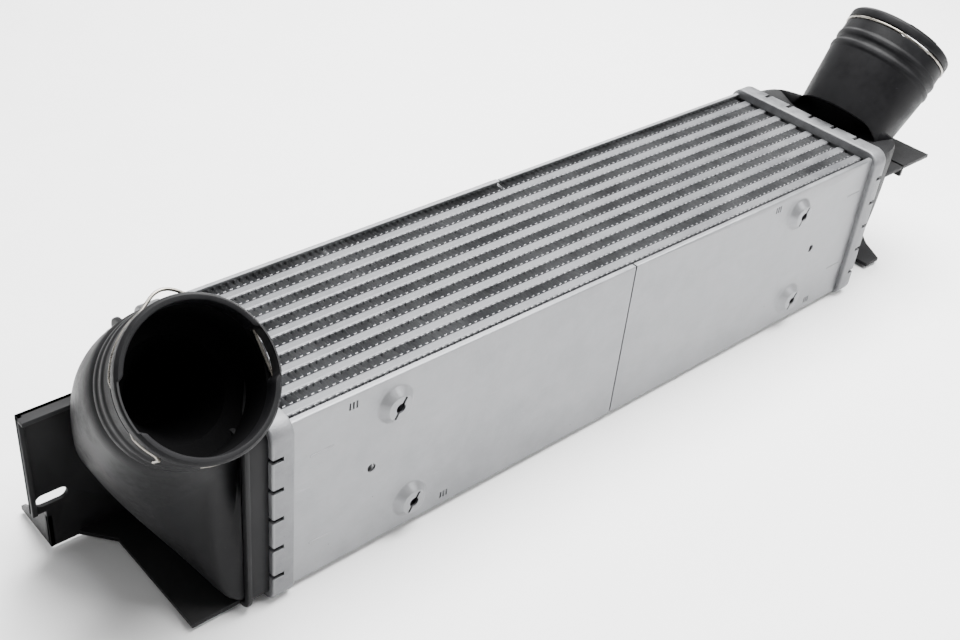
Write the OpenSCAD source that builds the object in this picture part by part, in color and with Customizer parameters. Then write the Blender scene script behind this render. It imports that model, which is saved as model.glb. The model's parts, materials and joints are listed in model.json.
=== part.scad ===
// Charge-air intercooler: brazed bar-and-fin core, crimped headers, moulded end tanks.
// X runs along the core, Y across it from the front plate to the rear plate, Z up through the fins.

/* [Core] */
// Length of the core between the two headers
core_l = 520; // [400:5:640]
// Depth of the flat tubes and fins, in the direction of the cooling air
tube_depth = 112; // [90:1:140]
// Thickness of one flat tube
tube_t = 7.2; // [5:0.1:9]
// Wall of a flat tube
tube_wall = 0.5; // [0.4:0.05:0.8]
// Corner radius of a tube's narrow edges
tube_corner_r = 1.6; // [1:0.1:2.2]
// Number of flat tubes
tube_count = 8; // [6:1:10]
// Height of one row of fins, between two tubes
fin_h = 7.9; // [6:0.1:10]
// Thickness of the fin sheet
fin_t = 0.3; // [0.2:0.05:0.5]
// Length of one fold of the outer fins along the core
fin_pitch = 16; // [12:0.1:24]
// Length of one fold of the turbulators inside the tubes, across the air path
turb_pitch = 16; // [12:0.5:24]
// Gap between the ends of the fin rows and the headers
fin_end_gap = 3; // [2:0.5:6]

/* [Side plates] */
// Thickness of the side plates
plate_t = 1.2; // [0.8:0.1:2]
// Height of the side plates
plate_h = 118.6; // [112:0.2:150]
// Width of the lips that fold over the outer fin rows
lip_w = 3.4; // [3:0.1:7]
// Width of the saw cut that parts each side plate at mid-length
cut_w = 1.2; // [0.8:0.1:2.5]
// Height of the raised round fixing seats
seat_h = 5; // [3:0.1:7]
// Radius of a fixing seat where it leaves the plate
seat_r = 12.5; // [10:0.1:15]
// Radius of a fixing seat's flat top
seat_top_r = 8; // [6.5:0.1:9]
// Radius of the round hole in a fixing seat
seat_hole_r = 3.2; // [1.5:0.1:3.5]
// Length of the slot through a fixing seat's hole
seat_slot_l = 15; // [8:0.5:16]
// Width of that slot
seat_slot_w = 1.8; // [1:0.1:2.5]
// Lean of that slot from the vertical
seat_slot_lean = 30; // [0:1:40]
// Radius of the small locating hole
locating_r = 2.9; // [1:0.1:3]
// Distance from the header to the upper fixing seats
seat_hi_x = 68.8; // [50:0.5:120]
// Distance from the header to the lower fixing seats
seat_lo_x = 83.9; // [50:0.5:120]
// Distance from the header to the locating hole
locating_x = 54.2; // [30:0.5:100]
// Distance of the upper fixing seats below the plate's upper edge
seat_hi_drop = 20; // [18:0.5:30]
// Height of the lower fixing seats above the plate's lower edge
seat_lo_z = 20; // [18:0.5:30]
// Distance from a fixing seat's middle to its louvre window, along the core
window_out = 28.3; // [20:0.1:36]
// Height from a fixing seat's middle to its louvre window
window_up = 12.5; // [0:0.1:14]
// Length of a louvre window along the core
window_l = 7; // [4:0.5:10]
// Height of a louvre window
window_h = 5; // [3:0.5:8]

/* [Headers] */
// Depth of a header along the core, crimp tabs included
header_d = 14; // [12:0.5:18]
// How far a header stands proud of the side plates and their edges
header_proud = 4; // [3:0.5:8]
// Corner radius of a header
header_r = 10; // [8:0.5:20]
// Sheet thickness of a header
header_t = 1.5; // [1:0.1:2]
// Width of the gasket trough round a header
trough_w = 4; // [3.5:0.5:5]
// How far the tube plate is set back inside a header
tube_plate_set = 3; // [2:0.5:5]
// How far the crimp tabs fold in over the tank's foot
tab_fold = 2.5; // [1.5:0.5:4]
// Width of the notches between the crimp tabs
notch_w = 3; // [2:0.5:5]
// Distance from one notch to the next
notch_pitch = 21; // [15:0.5:30]
// Thickness of the tank gasket
gasket_t = 4; // [3:0.5:5]

/* [End tanks] */
// Thickness of a tank's foot flange
foot_t = 7; // [5:0.5:9]
// Length of the inlet tank's straight collar outside the crimp
in_collar_l = 15; // [10:0.5:20]
// Length of the outlet tank's straight collar outside the crimp
out_collar_l = 4; // [3:0.5:8]
// Wall of the moulded tanks
tank_wall = 3; // [2.5:0.1:4]
// Thickness of the moulded ribs and bracket plates
rib_t = 3; // [2:0.1:4]
// Height of the rib round a tank's collar
rib_h = 2.5; // [1:0.5:4]
// Length of the narrowing throat inside a tank, under its neck
throat_l = 45; // [40:1:70]
// Depth of a tank's cavity past its collar
cavity_l = 14; // [8:0.5:18]
// Width of the duct from the inlet's throat down to its cavity
duct_w = 60; // [40:1:64]
// Height of that duct
duct_h = 46; // [30:1:50]
// Depth of that duct past the tank's collar
duct_l = 30; // [20:1:32]
// Distance of that duct's middle from the core's middle plane, towards the front
duct_front = 6; // [0:0.5:10]
// Wall of a neck between its bore and its rim
neck_wall = 4.4; // [4:0.1:5]
// Width of a neck's rim along its axis
rim_w = 8; // [5:0.5:12]
// Length of a neck from its rim to the tank's skin
neck_l = 36; // [34:0.5:45]
// Distance from the rim to the first sealing ring
ring_one_z = 22; // [18:0.5:24]
// Distance from the rim to the second sealing ring
ring_two_z = 31; // [28:0.5:32]
// Width of a sealing ring
ring_w = 3; // [2:0.5:4]
// Width of a window in the neck, along the rim
neck_window_w = 28; // [24:0.5:30]

/* [Inlet neck] */
// Radius of the inlet bore
in_bore_r = 37; // [34:0.1:38]
// Distance from the core's end to the centre of the inlet rim
in_neck_x = 47.3; // [45:0.1:60]
// Place of the inlet rim's centre across the core, from its middle
in_neck_y = -62; // [-70:0.5:-55]
// Height of the inlet rim's centre above the rest plane
in_neck_z = 171.4; // [168:0.1:185]
// Tilt of the inlet neck from the vertical, towards the front
in_neck_tilt = 48; // [40:1:55]
// Swell of the inlet tank towards its upper side
in_swell_top = 20; // [10:1:26]
// Swell of the inlet tank towards its underside
in_swell_low = 25; // [15:1:36]

/* [Outlet neck] */
// Radius of the outlet bore
out_bore_r = 38.6; // [36:0.1:40]
// Distance from the core's end to the centre of the outlet rim
out_neck_x = 92; // [80:0.5:110]
// Place of the outlet rim's centre across the core, from its middle
out_neck_y = -11.4; // [-20:0.2:10]
// Height of the outlet rim's centre above the rest plane
out_neck_z = 178.5; // [170:0.5:200]
// Tilt of the outlet neck from the vertical, away from the core
out_neck_tilt = 41; // [35:1:48]
// Length of the tapered trunk under the outlet neck
out_trunk_l = 42; // [30:1:50]
// Radius of that trunk at its lower end
out_trunk_r = 38; // [35:0.5:42]
// Swell of the outlet tank towards its upper side
out_swell_top = 64; // [40:1:70]
// Swell of either tank towards the front
near_swell = 10; // [0:1:14]

/* [Brackets] */
// Reach of the inlet bracket beyond the core's end
bracket_reach = 99; // [90:0.5:115]
// Place of the inlet bracket's panel across the core, from its middle
bracket_y = 42.5; // [35:0.5:50]
// Height of the inlet bracket's panel
bracket_h = 100; // [85:1:115]
// Depth of the inlet bracket's panel flanges
bracket_flange = 9; // [5:0.5:14]
// Length of the fixing slot in the inlet bracket
slot_l = 19; // [12:0.5:22]
// Width of the fixing slot in the inlet bracket
slot_w = 8; // [5:0.1:9]
// Height of the fixing slot above the rest plane
slot_z = 39; // [34:0.5:45]
// Depth of the wing behind the inlet bracket's panel
wing_d = 35; // [20:1:45]
// Height of that wing
wing_h = 24; // [16:1:30]
// Reach of the inlet tank's flat foot plate beyond the core's end
foot_plate_reach = 59; // [50:0.5:70]
// Reach of the outlet shelf beyond the core's end
shelf_reach = 95; // [85:0.5:105]
// Height of the outlet shelf above the rest plane
shelf_z = 95; // [85:0.5:105]
// Reach of the outlet tank's lower lug beyond the core's end
lug_reach = 94; // [85:0.5:100]
// Clearance of the lowest plates above the rest plane
plate_lift = 2.4; // [1.5:0.1:4]

/* [Wire clips] */
// Diameter of the spring wire
wire_d = 1.8; // [1.2:0.1:2.2]
// Height of the bow by which a clip is lifted
bow_h = 5; // [2:0.5:10]
// Length of a clip's bent tail
tail_l = 8; // [4:0.5:9]

/* [Hidden] */
$fn = 64;
eps = 0.01;
// Small step where a tank's skin leaves its collar and its neck
step = 1.5;
// One overrun serves every cut
over = header_t;
tube_fit = 0.05;
foot_fit = 0.4;
wire_fit = 0.2;
// How long a tank's skin runs along its neck's axis before it meets the neck
in_neck_share = 0.65;
out_neck_share = 0.4;
// Rise of a skin line above its collar by which it is wholly held clear of the header
clear_rise = 15;
// Turn of a neck's windows and clip round its axis
in_window_turn = 0;
out_window_turn = -45;

core_w = tube_count * tube_t + (tube_count + 1) * fin_h + 2 * plate_t;
tube_pitch = tube_t + fin_h;
header_w = core_w + 2 * header_proud;
header_h = plate_h + 2 * header_proud;
mid_z = header_h / 2;
plate_z = header_proud;
seat_hi_z = plate_h - seat_hi_drop;
tube_z = mid_z - tube_depth / 2;
tube_over = tube_plate_set + 3 / 2 * header_t;

in_rim_r = in_bore_r + neck_wall;
in_trunk_l = wire_d / 3;
in_trunk_r = in_rim_r + wire_d / 3;
out_rim_r = out_bore_r + neck_wall;

// The overall box is centred on the origin in X and Y
in_reach = core_l / 2 + bracket_reach;
out_reach = core_l / 2 + out_neck_x + out_rim_r * cos(out_neck_tilt);
frame_x = (in_reach - out_reach) / 2;
near_reach = -in_neck_y + in_rim_r * cos(in_neck_tilt);
far_reach = bracket_y + wing_d;
frame_y = (near_reach - far_reach) / 2;

foot_w = header_w - 2 * (header_t + foot_fit);
foot_h = header_h - 2 * (header_t + foot_fit);
foot_r = header_r - header_t - foot_fit;
foot_x = header_t + gasket_t;
skin_w = header_w - 2 * (header_t + tab_fold + foot_fit);
skin_h = header_h - 2 * (header_t + tab_fold + foot_fit);
skin_r = header_r - header_t - tab_fold - foot_fit;
trough_in = header_t + trough_w + header_t;
cavity_w = header_w - 2 * trough_in;
cavity_h = header_h - 2 * trough_in;
in_collar_x = header_d + in_collar_l;
out_collar_x = header_d + out_collar_l;

front_y = -core_w / 2;
tube_names = [for (i = [1:tube_count]) str("tube_", i)];
turb_names = [for (i = [1:tube_count]) str("turbulator_", i)];
fin_names = [for (i = [1:tube_count + 1]) str("fin_row_", i)];

plastic = [0.09, 0.09, 0.1];
bright = [0.78, 0.79, 0.8];
sheet = [0.7, 0.71, 0.72];
fin_grey = [0.5, 0.51, 0.52];
seal = [0.04, 0.04, 0.04];
steel = [0.72, 0.69, 0.64];

// Outlines and placing helpers

module rounded_rect(w, h, r) {
    offset_w = w / 2 - r;
    offset_h = h / 2 - r;
    union() {
        square([2 * offset_w, h], center = true);
        square([w, 2 * offset_h], center = true);
        for (sy = [-1, 1], sz = [-1, 1])
            translate([sy * offset_w, sz * offset_h])
                circle(r = r, $fn = 32);
    }
}

// Turns a flat outline drawn in Y and Z so that it is extruded along +X from x0
module along_x(x0, length) {
    translate([x0, 0, mid_z])
        rotate([90, 0, 90])
            linear_extrude(height = length)
                children();
}

// Places what is drawn outwards from one end of the core
module at_inlet() {
    translate([frame_x - core_l / 2, frame_y, 0])
        mirror([1, 0, 0])
            children();
}

module at_outlet() {
    translate([frame_x + core_l / 2, frame_y, 0])
        children();
}

// Core

function tube_y(i) = front_y + plate_t + fin_h + (i - 1) * tube_pitch;
function fin_y(i) = front_y + plate_t + (i - 1) * tube_pitch;

// Outline of a folded sheet: flat crests joined by slanting walls
function fold_line(length, folds, height, crest_share, side) =
    [for (k = [0:folds - 1], s = [0:3])
        let (p = length / folds, flat = p * crest_share)
        [k * p + [0, flat, p / 2, p / 2 + flat][s], (s < 2 ? 0 : 1) * height + side]];

module folded_sheet(length, folds, height, thickness, crest_share) {
    low = fold_line(length, folds, height - thickness, crest_share, 0);
    high = fold_line(length, folds, height - thickness, crest_share, thickness);
    polygon(concat(low, [for (k = [len(high) - 1:-1:0]) high[k]]));
}

module fin_row(i) {
    length = core_l - 2 * fin_end_gap;
    color(fin_grey)
        translate([frame_x - length / 2, frame_y + fin_y(i), tube_z])
            linear_extrude(height = tube_depth)
                folded_sheet(length, round(length / fin_pitch), fin_h, fin_t, 0.2);
}

module tube(i) {
    color(sheet)
        translate([0, frame_y + tube_y(i) + tube_t / 2, 0])
            along_x(frame_x - core_l / 2 - tube_over, core_l + 2 * tube_over)
                difference() {
                    rounded_rect(tube_t, tube_depth, tube_corner_r);
                    rounded_rect(tube_t - 2 * tube_wall, tube_depth - 2 * tube_wall,
                        tube_corner_r - tube_wall);
                }
}

module turbulator(i) {
    width = tube_depth - 2 * tube_corner_r;
    color(fin_grey)
        translate([frame_x - core_l / 2, frame_y + tube_y(i) + tube_wall, mid_z - width / 2])
            rotate([90, 0, 90])
                linear_extrude(height = core_l)
                    rotate([0, 0, 90])
                        mirror([0, 1])
                            folded_sheet(width, round(width / turb_pitch), tube_t - 2 * tube_wall,
                                fin_t, 0.2);
}

// Side plates

module fixing_seat(x, z) {
    translate([x, 0, z])
        rotate([90, 0, 0])
            rotate_extrude()
                polygon([[seat_top_r - plate_t, seat_h - plate_t], [seat_r - plate_t, -plate_t],
                    [seat_r, 0], [seat_top_r, seat_h], [0, seat_h], [0, seat_h - plate_t]]);
}

module seat_cut(x, z) {
    translate([x, plate_t + over, z])
        rotate([90, 0, 0])
            cylinder(r = seat_r - plate_t, h = plate_t + 2 * over);
}

module seat_slot(x, z, lean) {
    deep = seat_h + over;
    translate([x, 0, z])
        rotate([90, 0, 0]) {
            cylinder(r = seat_hole_r, h = deep, $fn = 32);
            rotate([0, 0, lean])
                translate([-seat_slot_w / 2, -seat_slot_l / 2, 0])
                    cube([seat_slot_w, seat_slot_l, deep]);
        }
}

module louvre(x, z) {
    bars = 3;
    step = window_l / bars;
    for (k = [0:bars - 1])
        translate([x + k * step, -over, z - window_h / 2])
            cube([step / 2, plate_t + 2 * over, window_h]);
}

// One half of a side plate, with its header end at x = 0 and its outer face at y = 0
module half_plate() {
    length = (core_l - cut_w) / 2;
    color(bright)
        difference() {
            union() {
                difference() {
                    cube([length, plate_t, plate_h]);
                    seat_cut(seat_hi_x, seat_hi_z);
                    seat_cut(seat_lo_x, seat_lo_z);
                }
                for (z = [0, plate_h - plate_t])
                    translate([0, 0, z])
                        cube([length, lip_w, plate_t]);
                fixing_seat(seat_hi_x, seat_hi_z);
                fixing_seat(seat_lo_x, seat_lo_z);
            }
            seat_slot(seat_hi_x, seat_hi_z, -seat_slot_lean);
            seat_slot(seat_lo_x, seat_lo_z, -seat_slot_lean);
            translate([locating_x, plate_t + over, plate_h / 2])
                rotate([90, 0, 0])
                    cylinder(r = locating_r, h = plate_t + 2 * over, $fn = 32);
            louvre(seat_hi_x - window_out - window_l / 2, seat_hi_z + window_up);
            louvre(seat_lo_x + window_out - window_l / 2, seat_lo_z - window_up);
        }
}

module front_plate_inlet() {
    translate([frame_x - core_l / 2, frame_y + front_y, plate_z])
        half_plate();
}

module front_plate_outlet() {
    translate([frame_x + core_l / 2, frame_y + front_y, plate_z + plate_h])
        rotate([0, 180, 0])
            half_plate();
}

module rear_plate_inlet() {
    translate([frame_x - core_l / 2, frame_y - front_y, plate_z + plate_h])
        rotate([180, 0, 0])
            half_plate();
}

module rear_plate_outlet() {
    translate([frame_x + core_l / 2, frame_y - front_y, plate_z])
        rotate([0, 0, 180])
            half_plate();
}

// Headers, drawn outwards from the core's end at x = 0

module notches() {
    // Notches through the long and the short sides, evenly spread from the middle
    long_n = floor((header_h - 2 * header_r) / notch_pitch / 2);
    deep = header_d - foot_x - over;
    for (k = [-long_n:long_n])
        translate([header_d - deep, -header_w / 2 - over, mid_z + k * notch_pitch - notch_w / 2])
            cube([deep + over, header_w + 2 * over, notch_w]);
    wide_n = floor((header_w - 2 * header_r) / notch_pitch / 2);
    for (k = [-wide_n:wide_n])
        translate([header_d - deep, k * notch_pitch - notch_w / 2, -over])
            cube([deep + over, notch_w, header_h + 2 * over]);
}

module header() {
    color(sheet)
        difference() {
            union() {
                // Outer wall and the floor of the gasket trough
                along_x(0, header_d)
                    difference() {
                        rounded_rect(header_w, header_h, header_r);
                        rounded_rect(header_w - 2 * header_t, header_h - 2 * header_t, header_r - header_t);
                    }
                along_x(0, header_t)
                    difference() {
                        rounded_rect(header_w, header_h, header_r);
                        rounded_rect(cavity_w, cavity_h, skin_r / 2);
                    }
                // Inner wall of the trough and the tube plate
                along_x(0, tube_plate_set + header_t)
                    difference() {
                        rounded_rect(cavity_w + 2 * header_t, cavity_h + 2 * header_t, skin_r / 2 + header_t);
                        rounded_rect(cavity_w, cavity_h, skin_r / 2);
                    }
                along_x(tube_plate_set, header_t)
                    rounded_rect(cavity_w + header_t, cavity_h + header_t, skin_r / 2 + header_t / 2);
                // Folded crimp tabs
                along_x(header_d - header_t, header_t)
                    difference() {
                        rounded_rect(header_w, header_h, header_r);
                        rounded_rect(header_w - 2 * (header_t + tab_fold),
                            header_h - 2 * (header_t + tab_fold), header_r - header_t - tab_fold);
                    }
            }
            notches();
            for (i = [1:tube_count])
                translate([0, tube_y(i) + tube_t / 2, 0])
                    along_x(0, tube_plate_set + header_t + over)
                        rounded_rect(tube_t + 2 * tube_fit, tube_depth + 2 * tube_fit,
                            tube_corner_r + tube_fit);
        }
}

module gasket() {
    color(seal)
        along_x(header_t, gasket_t)
            difference() {
                rounded_rect(header_w - 2 * header_t, header_h - 2 * header_t, header_r - header_t);
                rounded_rect(cavity_w + 2 * header_t, cavity_h + 2 * header_t, skin_r / 2 + header_t);
            }
}

// End tanks, drawn outwards from the core's end at x = 0

turns = 36;
steps = 7;

// Point on a rounded rectangle in Y and Z, by its turn from the +Y side
function on_rect(a, w, h, r) =
    let (c = cos(a), s = sin(a), k = max(abs(c) / (w / 2), abs(s) / (h / 2)),
        p = [c / k, s / k],
        corner = [sign(c) * (w / 2 - r), sign(s) * (h / 2 - r)],
        inside = abs(p[0]) < w / 2 - r || abs(p[1]) < h / 2 - r,
        d = p - corner)
    inside ? p : corner + d * r / norm(d);

function bezier(a, b, c, d, t) =
    a * pow(1 - t, 3) + 3 * b * t * pow(1 - t, 2) + 3 * c * t * t * (1 - t) + d * pow(t, 3);

// Point on the neck's ring, carried over from the foot's outline by the turn between their faces
function on_ring(a, centre, axis, radius) =
    let (out = [1, 0, 0], w = cross(out, axis), wn = w / norm(w), p = cross(wn, out), q = cross(wn, axis),
        f = [0, cos(a), sin(a)])
    centre + radius * ((f * wn) * wn + (f * p) * q);

// Skin of a tank from its collar to its neck: ring after ring of points. Each line leaves the collar
// outwards by its share of the swell and runs into the neck along the neck's axis.
function skin_rings(x0, w, h, r, centre, axis, radius, neck_share, swell) =
    [for (k = [0:steps]) [for (i = [0:turns - 1])
        let (a = 360 * (i + 1 / 2) / turns, foot = on_rect(a, w, h, r), start = [x0, foot[0], mid_z + foot[1]],
            end = on_ring(a, centre, axis, radius), in = max(0, (end - start) * axis),
            ease = 1 - swell[2] * max(0, 1 - end[0] / centre[0]),
            bulge = ((swell[0] * (1 + sin(a)) + swell[1] * (1 - sin(a))) / 2 - near_swell * cos(a)) * ease,
            lead = [axis[0], axis[1] * (3 + 2 * cos(a)) / 5, axis[2]], last = end - lead * in * neck_share,
            hold = swell[2] * max(0, x0 - last[0]) * min(1, in / clear_rise))
        bezier(start, start + [bulge, 0, 0], last + [hold, 0, 0], end, k / steps)]];

// Outline of a neck in radius and distance from its base: rim, wire groove, two sealing rings, trunk
function neck_profile(bore, trunk_l) =
    let (rim = bore + neck_wall, land = rim - wire_d / 2, groove = rim - wire_d - wire_fit,
        groove_end = rim_w + wire_d + 2 * wire_fit, edge = rim_w / 5,
        down = [[rim - edge, 0], [rim, edge], [rim, rim_w - edge / 2], [groove, rim_w],
            [groove, groove_end], [land, groove_end], [land, ring_one_z - ring_w],
            [rim, ring_one_z - ring_w / 2], [rim, ring_one_z + ring_w / 2], [land, ring_one_z + ring_w],
            [land, ring_two_z - ring_w], [rim, ring_two_z - ring_w / 2], [rim, ring_two_z + ring_w / 2],
            [land, ring_two_z + ring_w]])
    [for (k = [len(down) - 1:-1:0]) [down[k][0], neck_l + trunk_l - down[k][1]]];

// A tank's outer form in one piece, from inside its collar to its rim
module skin(x0, w, h, r, base, axis, radius, neck_share, swell, profile) {
    rings = concat(skin_rings(x0, w, h, r, base, axis, radius, neck_share, swell),
        [for (p = profile) [for (i = [0:turns - 1])
            on_ring(360 * (i + 1 / 2) / turns, base + axis * p[1], axis, p[0])]]);
    last = len(rings) - 1;
    low = (last + 1) * turns;
    // Each end is closed by a fan round its middle
    points = concat([for (ring = rings) each ring],
        [[x0, 0, mid_z], base + axis * profile[len(profile) - 1][1]]);
    faces = concat([for (i = [0:turns - 1]) [low, i, (i + 1) % turns]],
        [for (k = [0:last - 1], i = [0:turns - 1], half = [0, 1])
            let (j = (i + 1) % turns, p = k * turns)
            half == 0 ? [p + i, p + turns + i, p + j] : [p + j, p + turns + i, p + turns + j]],
        [for (i = [0:turns - 1]) [low + 1, last * turns + (i + 1) % turns, last * turns + i]]);
    polyhedron(points = points, faces = faces, convexity = 6);
}

// Moves what is drawn along +Z from a rim's centre into the tank
module on_neck(centre, tilt, turn) {
    translate(centre)
        rotate([0, 0, turn])
            rotate([tilt, 0, 0])
                mirror([0, 0, 1])
                    children();
}

// Way through a neck: its bore, its trunk, and on in a narrowing cone to the tank's cavity
module neck_bore(bore, trunk_l, trunk_r) {
    inner_r = trunk_r - tank_wall - step;
    rotate_extrude()
        polygon([[0, -over], [bore, -over], [bore, neck_l], [inner_r, neck_l + trunk_l],
            [bore / 2, neck_l + trunk_l + throat_l], [0, neck_l + trunk_l + throat_l]]);
}

// Wall round the narrowing cone where the tank's skin runs closer to it
module throat_wall(bore, trunk_l, trunk_r) {
    outer_r = trunk_r - step;
    foot = neck_l + trunk_l;
    rotate_extrude()
        polygon([[0, foot - step], [outer_r, foot - step], [outer_r, foot],
            [bore / 2 + tank_wall, foot + throat_l], [bore / 2 + tank_wall, foot + throat_l + tank_wall],
            [0, foot + throat_l + tank_wall]]);
}

function neck_axis(tilt, turn) = [sin(tilt) * sin(turn), -sin(tilt) * cos(turn), cos(tilt)];

// Two windows through a neck, where the spring wire comes through to the bore
module neck_windows(bore) {
    reach = bore + neck_wall + over;
    translate([-reach, -neck_window_w / 2, rim_w])
        cube([2 * reach, neck_window_w, wire_d + 2 * wire_fit]);
}

// A tank: foot, collar, skin and neck, hollow from the foot to the rim, with its brackets merged in
module tank(collar_x, centre, tilt, turn, bore, trunk_l, trunk_r, neck_share, swell, window_turn,
        ducted = false) {
    axis = neck_axis(tilt, turn);
    base = centre - axis * (neck_l + trunk_l);
    difference() {
        union() {
            along_x(foot_x, foot_t)
                rounded_rect(foot_w, foot_h, foot_r);
            along_x(foot_x, collar_x - foot_x)
                rounded_rect(skin_w, skin_h, skin_r);
            skin(collar_x - 3 * over, skin_w - 2 * step, skin_h - 2 * step, skin_r - step / 2, base, axis,
                trunk_r, neck_share, swell, neck_profile(bore, trunk_l));
            if (ducted)
                on_neck(centre, tilt, turn)
                    throat_wall(bore, trunk_l, trunk_r);
            children();
        }
        along_x(foot_x - over, collar_x - foot_x)
            rounded_rect(skin_w - 2 * tank_wall, skin_h - 2 * tank_wall, skin_r - tank_wall / 2);
        along_x(collar_x - 4 * over, cavity_l)
            rounded_rect(skin_w - 6 * skin_r, skin_h - 6 * skin_r, skin_r);
        if (ducted)
            translate([0, -duct_front, skin_h / 2 - step - duct_h * 2 / 3])
                along_x(collar_x - 2 * over, duct_l)
                    rounded_rect(duct_w, duct_h, skin_r);
        on_neck(centre, tilt, turn) {
            neck_bore(bore, trunk_l, trunk_r);
            rotate([0, 0, window_turn])
                neck_windows(bore);
        }
    }
}

// A flat plate on the tank's lower side, from an outline of reach and place across
module low_plate(outline) {
    translate([0, 0, plate_lift])
        linear_extrude(height = rib_t)
            polygon(outline);
}

module inlet_bracket() {
    root = in_collar_x - rib_t;
    panel = bracket_reach - root;
    inset = bracket_reach / 12;
    near = 2 * rib_t - skin_w / 2;
    // Rib round the collar
    along_x(root, rib_t)
        rounded_rect(skin_w + 2 * rib_h, skin_h + 2 * rib_h, skin_r + rib_h);
    // Panel with its slot
    difference() {
        translate([root, bracket_y - rib_t, plate_lift])
            cube([panel, rib_t, bracket_h]);
        translate([bracket_reach - rib_t - slot_l, bracket_y - rib_t - over, slot_z - slot_w / 2])
            hull()
                for (x = [slot_w / 2, slot_l - slot_w / 2])
                    translate([x, 0, slot_w / 2])
                        rotate([-90, 0, 0])
                            cylinder(r = slot_w / 2, h = rib_t + 2 * over, $fn = 32);
        translate([bracket_reach - inset, bracket_y - rib_t - over, 0])
            cube([inset + over, rib_t + 2 * over, slot_z - slot_w - rib_t + plate_lift]);
    }
    // Flanges along the panel's top and outer edge
    translate([root, bracket_y - bracket_flange, plate_lift + bracket_h - rib_t])
        cube([panel, bracket_flange, rib_t]);
    translate([bracket_reach - rib_t, bracket_y - bracket_flange / 2, slot_z - slot_w])
        cube([rib_t, bracket_flange / 2, bracket_h + plate_lift - slot_z + slot_w]);
    // Wing behind the panel
    translate([bracket_reach - inset - rib_t, bracket_y - rib_t, plate_lift])
        rotate([90, 0, 90])
            linear_extrude(height = rib_t)
                polygon([[0, 0], [wing_d + rib_t, 0], [wing_d + rib_t, rib_t], [rib_t, wing_h], [0, wing_h]]);
    low_plate([[root, near], [foot_plate_reach, near], [foot_plate_reach, bracket_y / 2],
        [foot_plate_reach * 5 / 4, bracket_y - rib_t], [foot_plate_reach * 5 / 4, bracket_y], [root, bracket_y]]);
}

module outlet_bracket() {
    root = out_collar_x;
    front = -skin_w / 2;
    // Shelf beside the neck, with a short hook under its front corner
    translate([root, front + rib_t, shelf_z])
        cube([shelf_reach - root, skin_w / 3, rib_t]);
    translate([shelf_reach * 3 / 5, front + rib_t, shelf_z - 2 * rib_t])
        cube([rib_t, 4 * rib_t, 3 * rib_t]);
    // Lug at the foot and the web that carries it
    low_plate([[root, front * 2 / 3], [lug_reach * 3 / 5, front * 3 / 4], [lug_reach * 3 / 5, front * 9 / 10],
        [lug_reach * 7 / 9, front * 9 / 10], [lug_reach * 9 / 10, front * 3 / 5], [lug_reach, front * 4 / 9],
        [lug_reach, front / 3], [root, front / 3]]);
    translate([root, front / 2, plate_lift])
        rotate([90, 0, 0])
            linear_extrude(height = rib_t)
                polygon([[0, 0], [lug_reach - 2 * root, 0], [lug_reach - 2 * root, rib_t], [0, skin_h / 3]]);
}

module inlet_tank() {
    color(plastic)
        at_inlet()
            tank(in_collar_x, [in_neck_x, in_neck_y, in_neck_z], in_neck_tilt, 0, in_bore_r, in_trunk_l,
                in_trunk_r, in_neck_share, [in_swell_top, in_swell_low, 1], in_window_turn,
                ducted = true)
                inlet_bracket();
}

module outlet_tank() {
    color(plastic)
        at_outlet()
            tank(out_collar_x, [out_neck_x, out_neck_y, out_neck_z], out_neck_tilt, 90, out_bore_r,
                out_trunk_l, out_trunk_r, out_neck_share, [out_swell_top, 0, 0], out_window_turn)
                outlet_bracket();
}

// Spring wire clips

wire_sides = 8;

// Rings of points round a path, swept from its start to its end
module swept_wire(path) {
    n = len(path);
    points = [for (i = [0:n - 1])
        let (t = path[min(i + 1, n - 1)] - path[max(i - 1, 0)], tn = t / norm(t),
            out = [path[i][0], path[i][1], 0], q = out - (out * tn) * tn, qn = q / norm(q),
            side = cross(tn, qn))
        each [for (k = [0:wire_sides - 1])
            let (a = 360 * (k + 1 / 2) / wire_sides) path[i] + wire_d / 2 * (cos(a) * qn + sin(a) * side)]];
    faces = concat([[for (k = [0:wire_sides - 1]) k]],
        [for (i = [0:n - 2], k = [0:wire_sides - 1], half = [0, 1])
            let (j = (k + 1) % wire_sides, p = i * wire_sides)
            half == 0 ? [p + k, p + wire_sides + k, p + j] : [p + j, p + wire_sides + k, p + wire_sides + j]],
        [[for (k = [wire_sides - 1:-1:0]) (n - 1) * wire_sides + k]]);
    polyhedron(points = points, faces = faces, convexity = 6);
}

// How far the wire stands out of its groove at a turn round the neck
function bow_out(a) = let (k = (a - bow_turn) / bow_half) abs(k) < 1 ? bow_h * pow(cos(90 * k), 2) : 0;
bow_turn = 92;
bow_half = 22;
tail_turn = -42;
gap_turn = 290;

// A clip lies in its groove and runs straight across both windows; its tail is bent along the neck
module clip(bore, bow, window_turn) {
    r = bore + neck_wall - wire_d / 2;
    half = asin(neck_window_w / 2 / r);
    z = rim_w + wire_fit + wire_d / 2;
    lead_in = [for (a = [tail_turn + 4:4:-half - 1]) [r * cos(a), r * sin(a), z]];
    one = [for (a = [half:4:180 - half]) let (d = r + (bow ? bow_out(a) : 0)) [d * cos(a), d * sin(a), z]];
    two = [for (a = [180 + half:4:gap_turn]) [r * cos(a), r * sin(a), z]];
    out = r + wire_d / 2 + wire_fit;
    tail = [for (dz = [tail_l, wire_d, wire_d / 3]) [out * cos(tail_turn), out * sin(tail_turn), z + dz]];
    color(steel)
        rotate([0, 0, window_turn])
            swept_wire(concat(tail, lead_in, [r * [cos(-half), sin(-half), z / r]], one,
                [r * [cos(180 - half), sin(180 - half), z / r]], two));
}

module inlet_clip() {
    at_inlet()
        on_neck([in_neck_x, in_neck_y, in_neck_z], in_neck_tilt, 0)
            clip(in_bore_r, true, in_window_turn);
}

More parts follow.
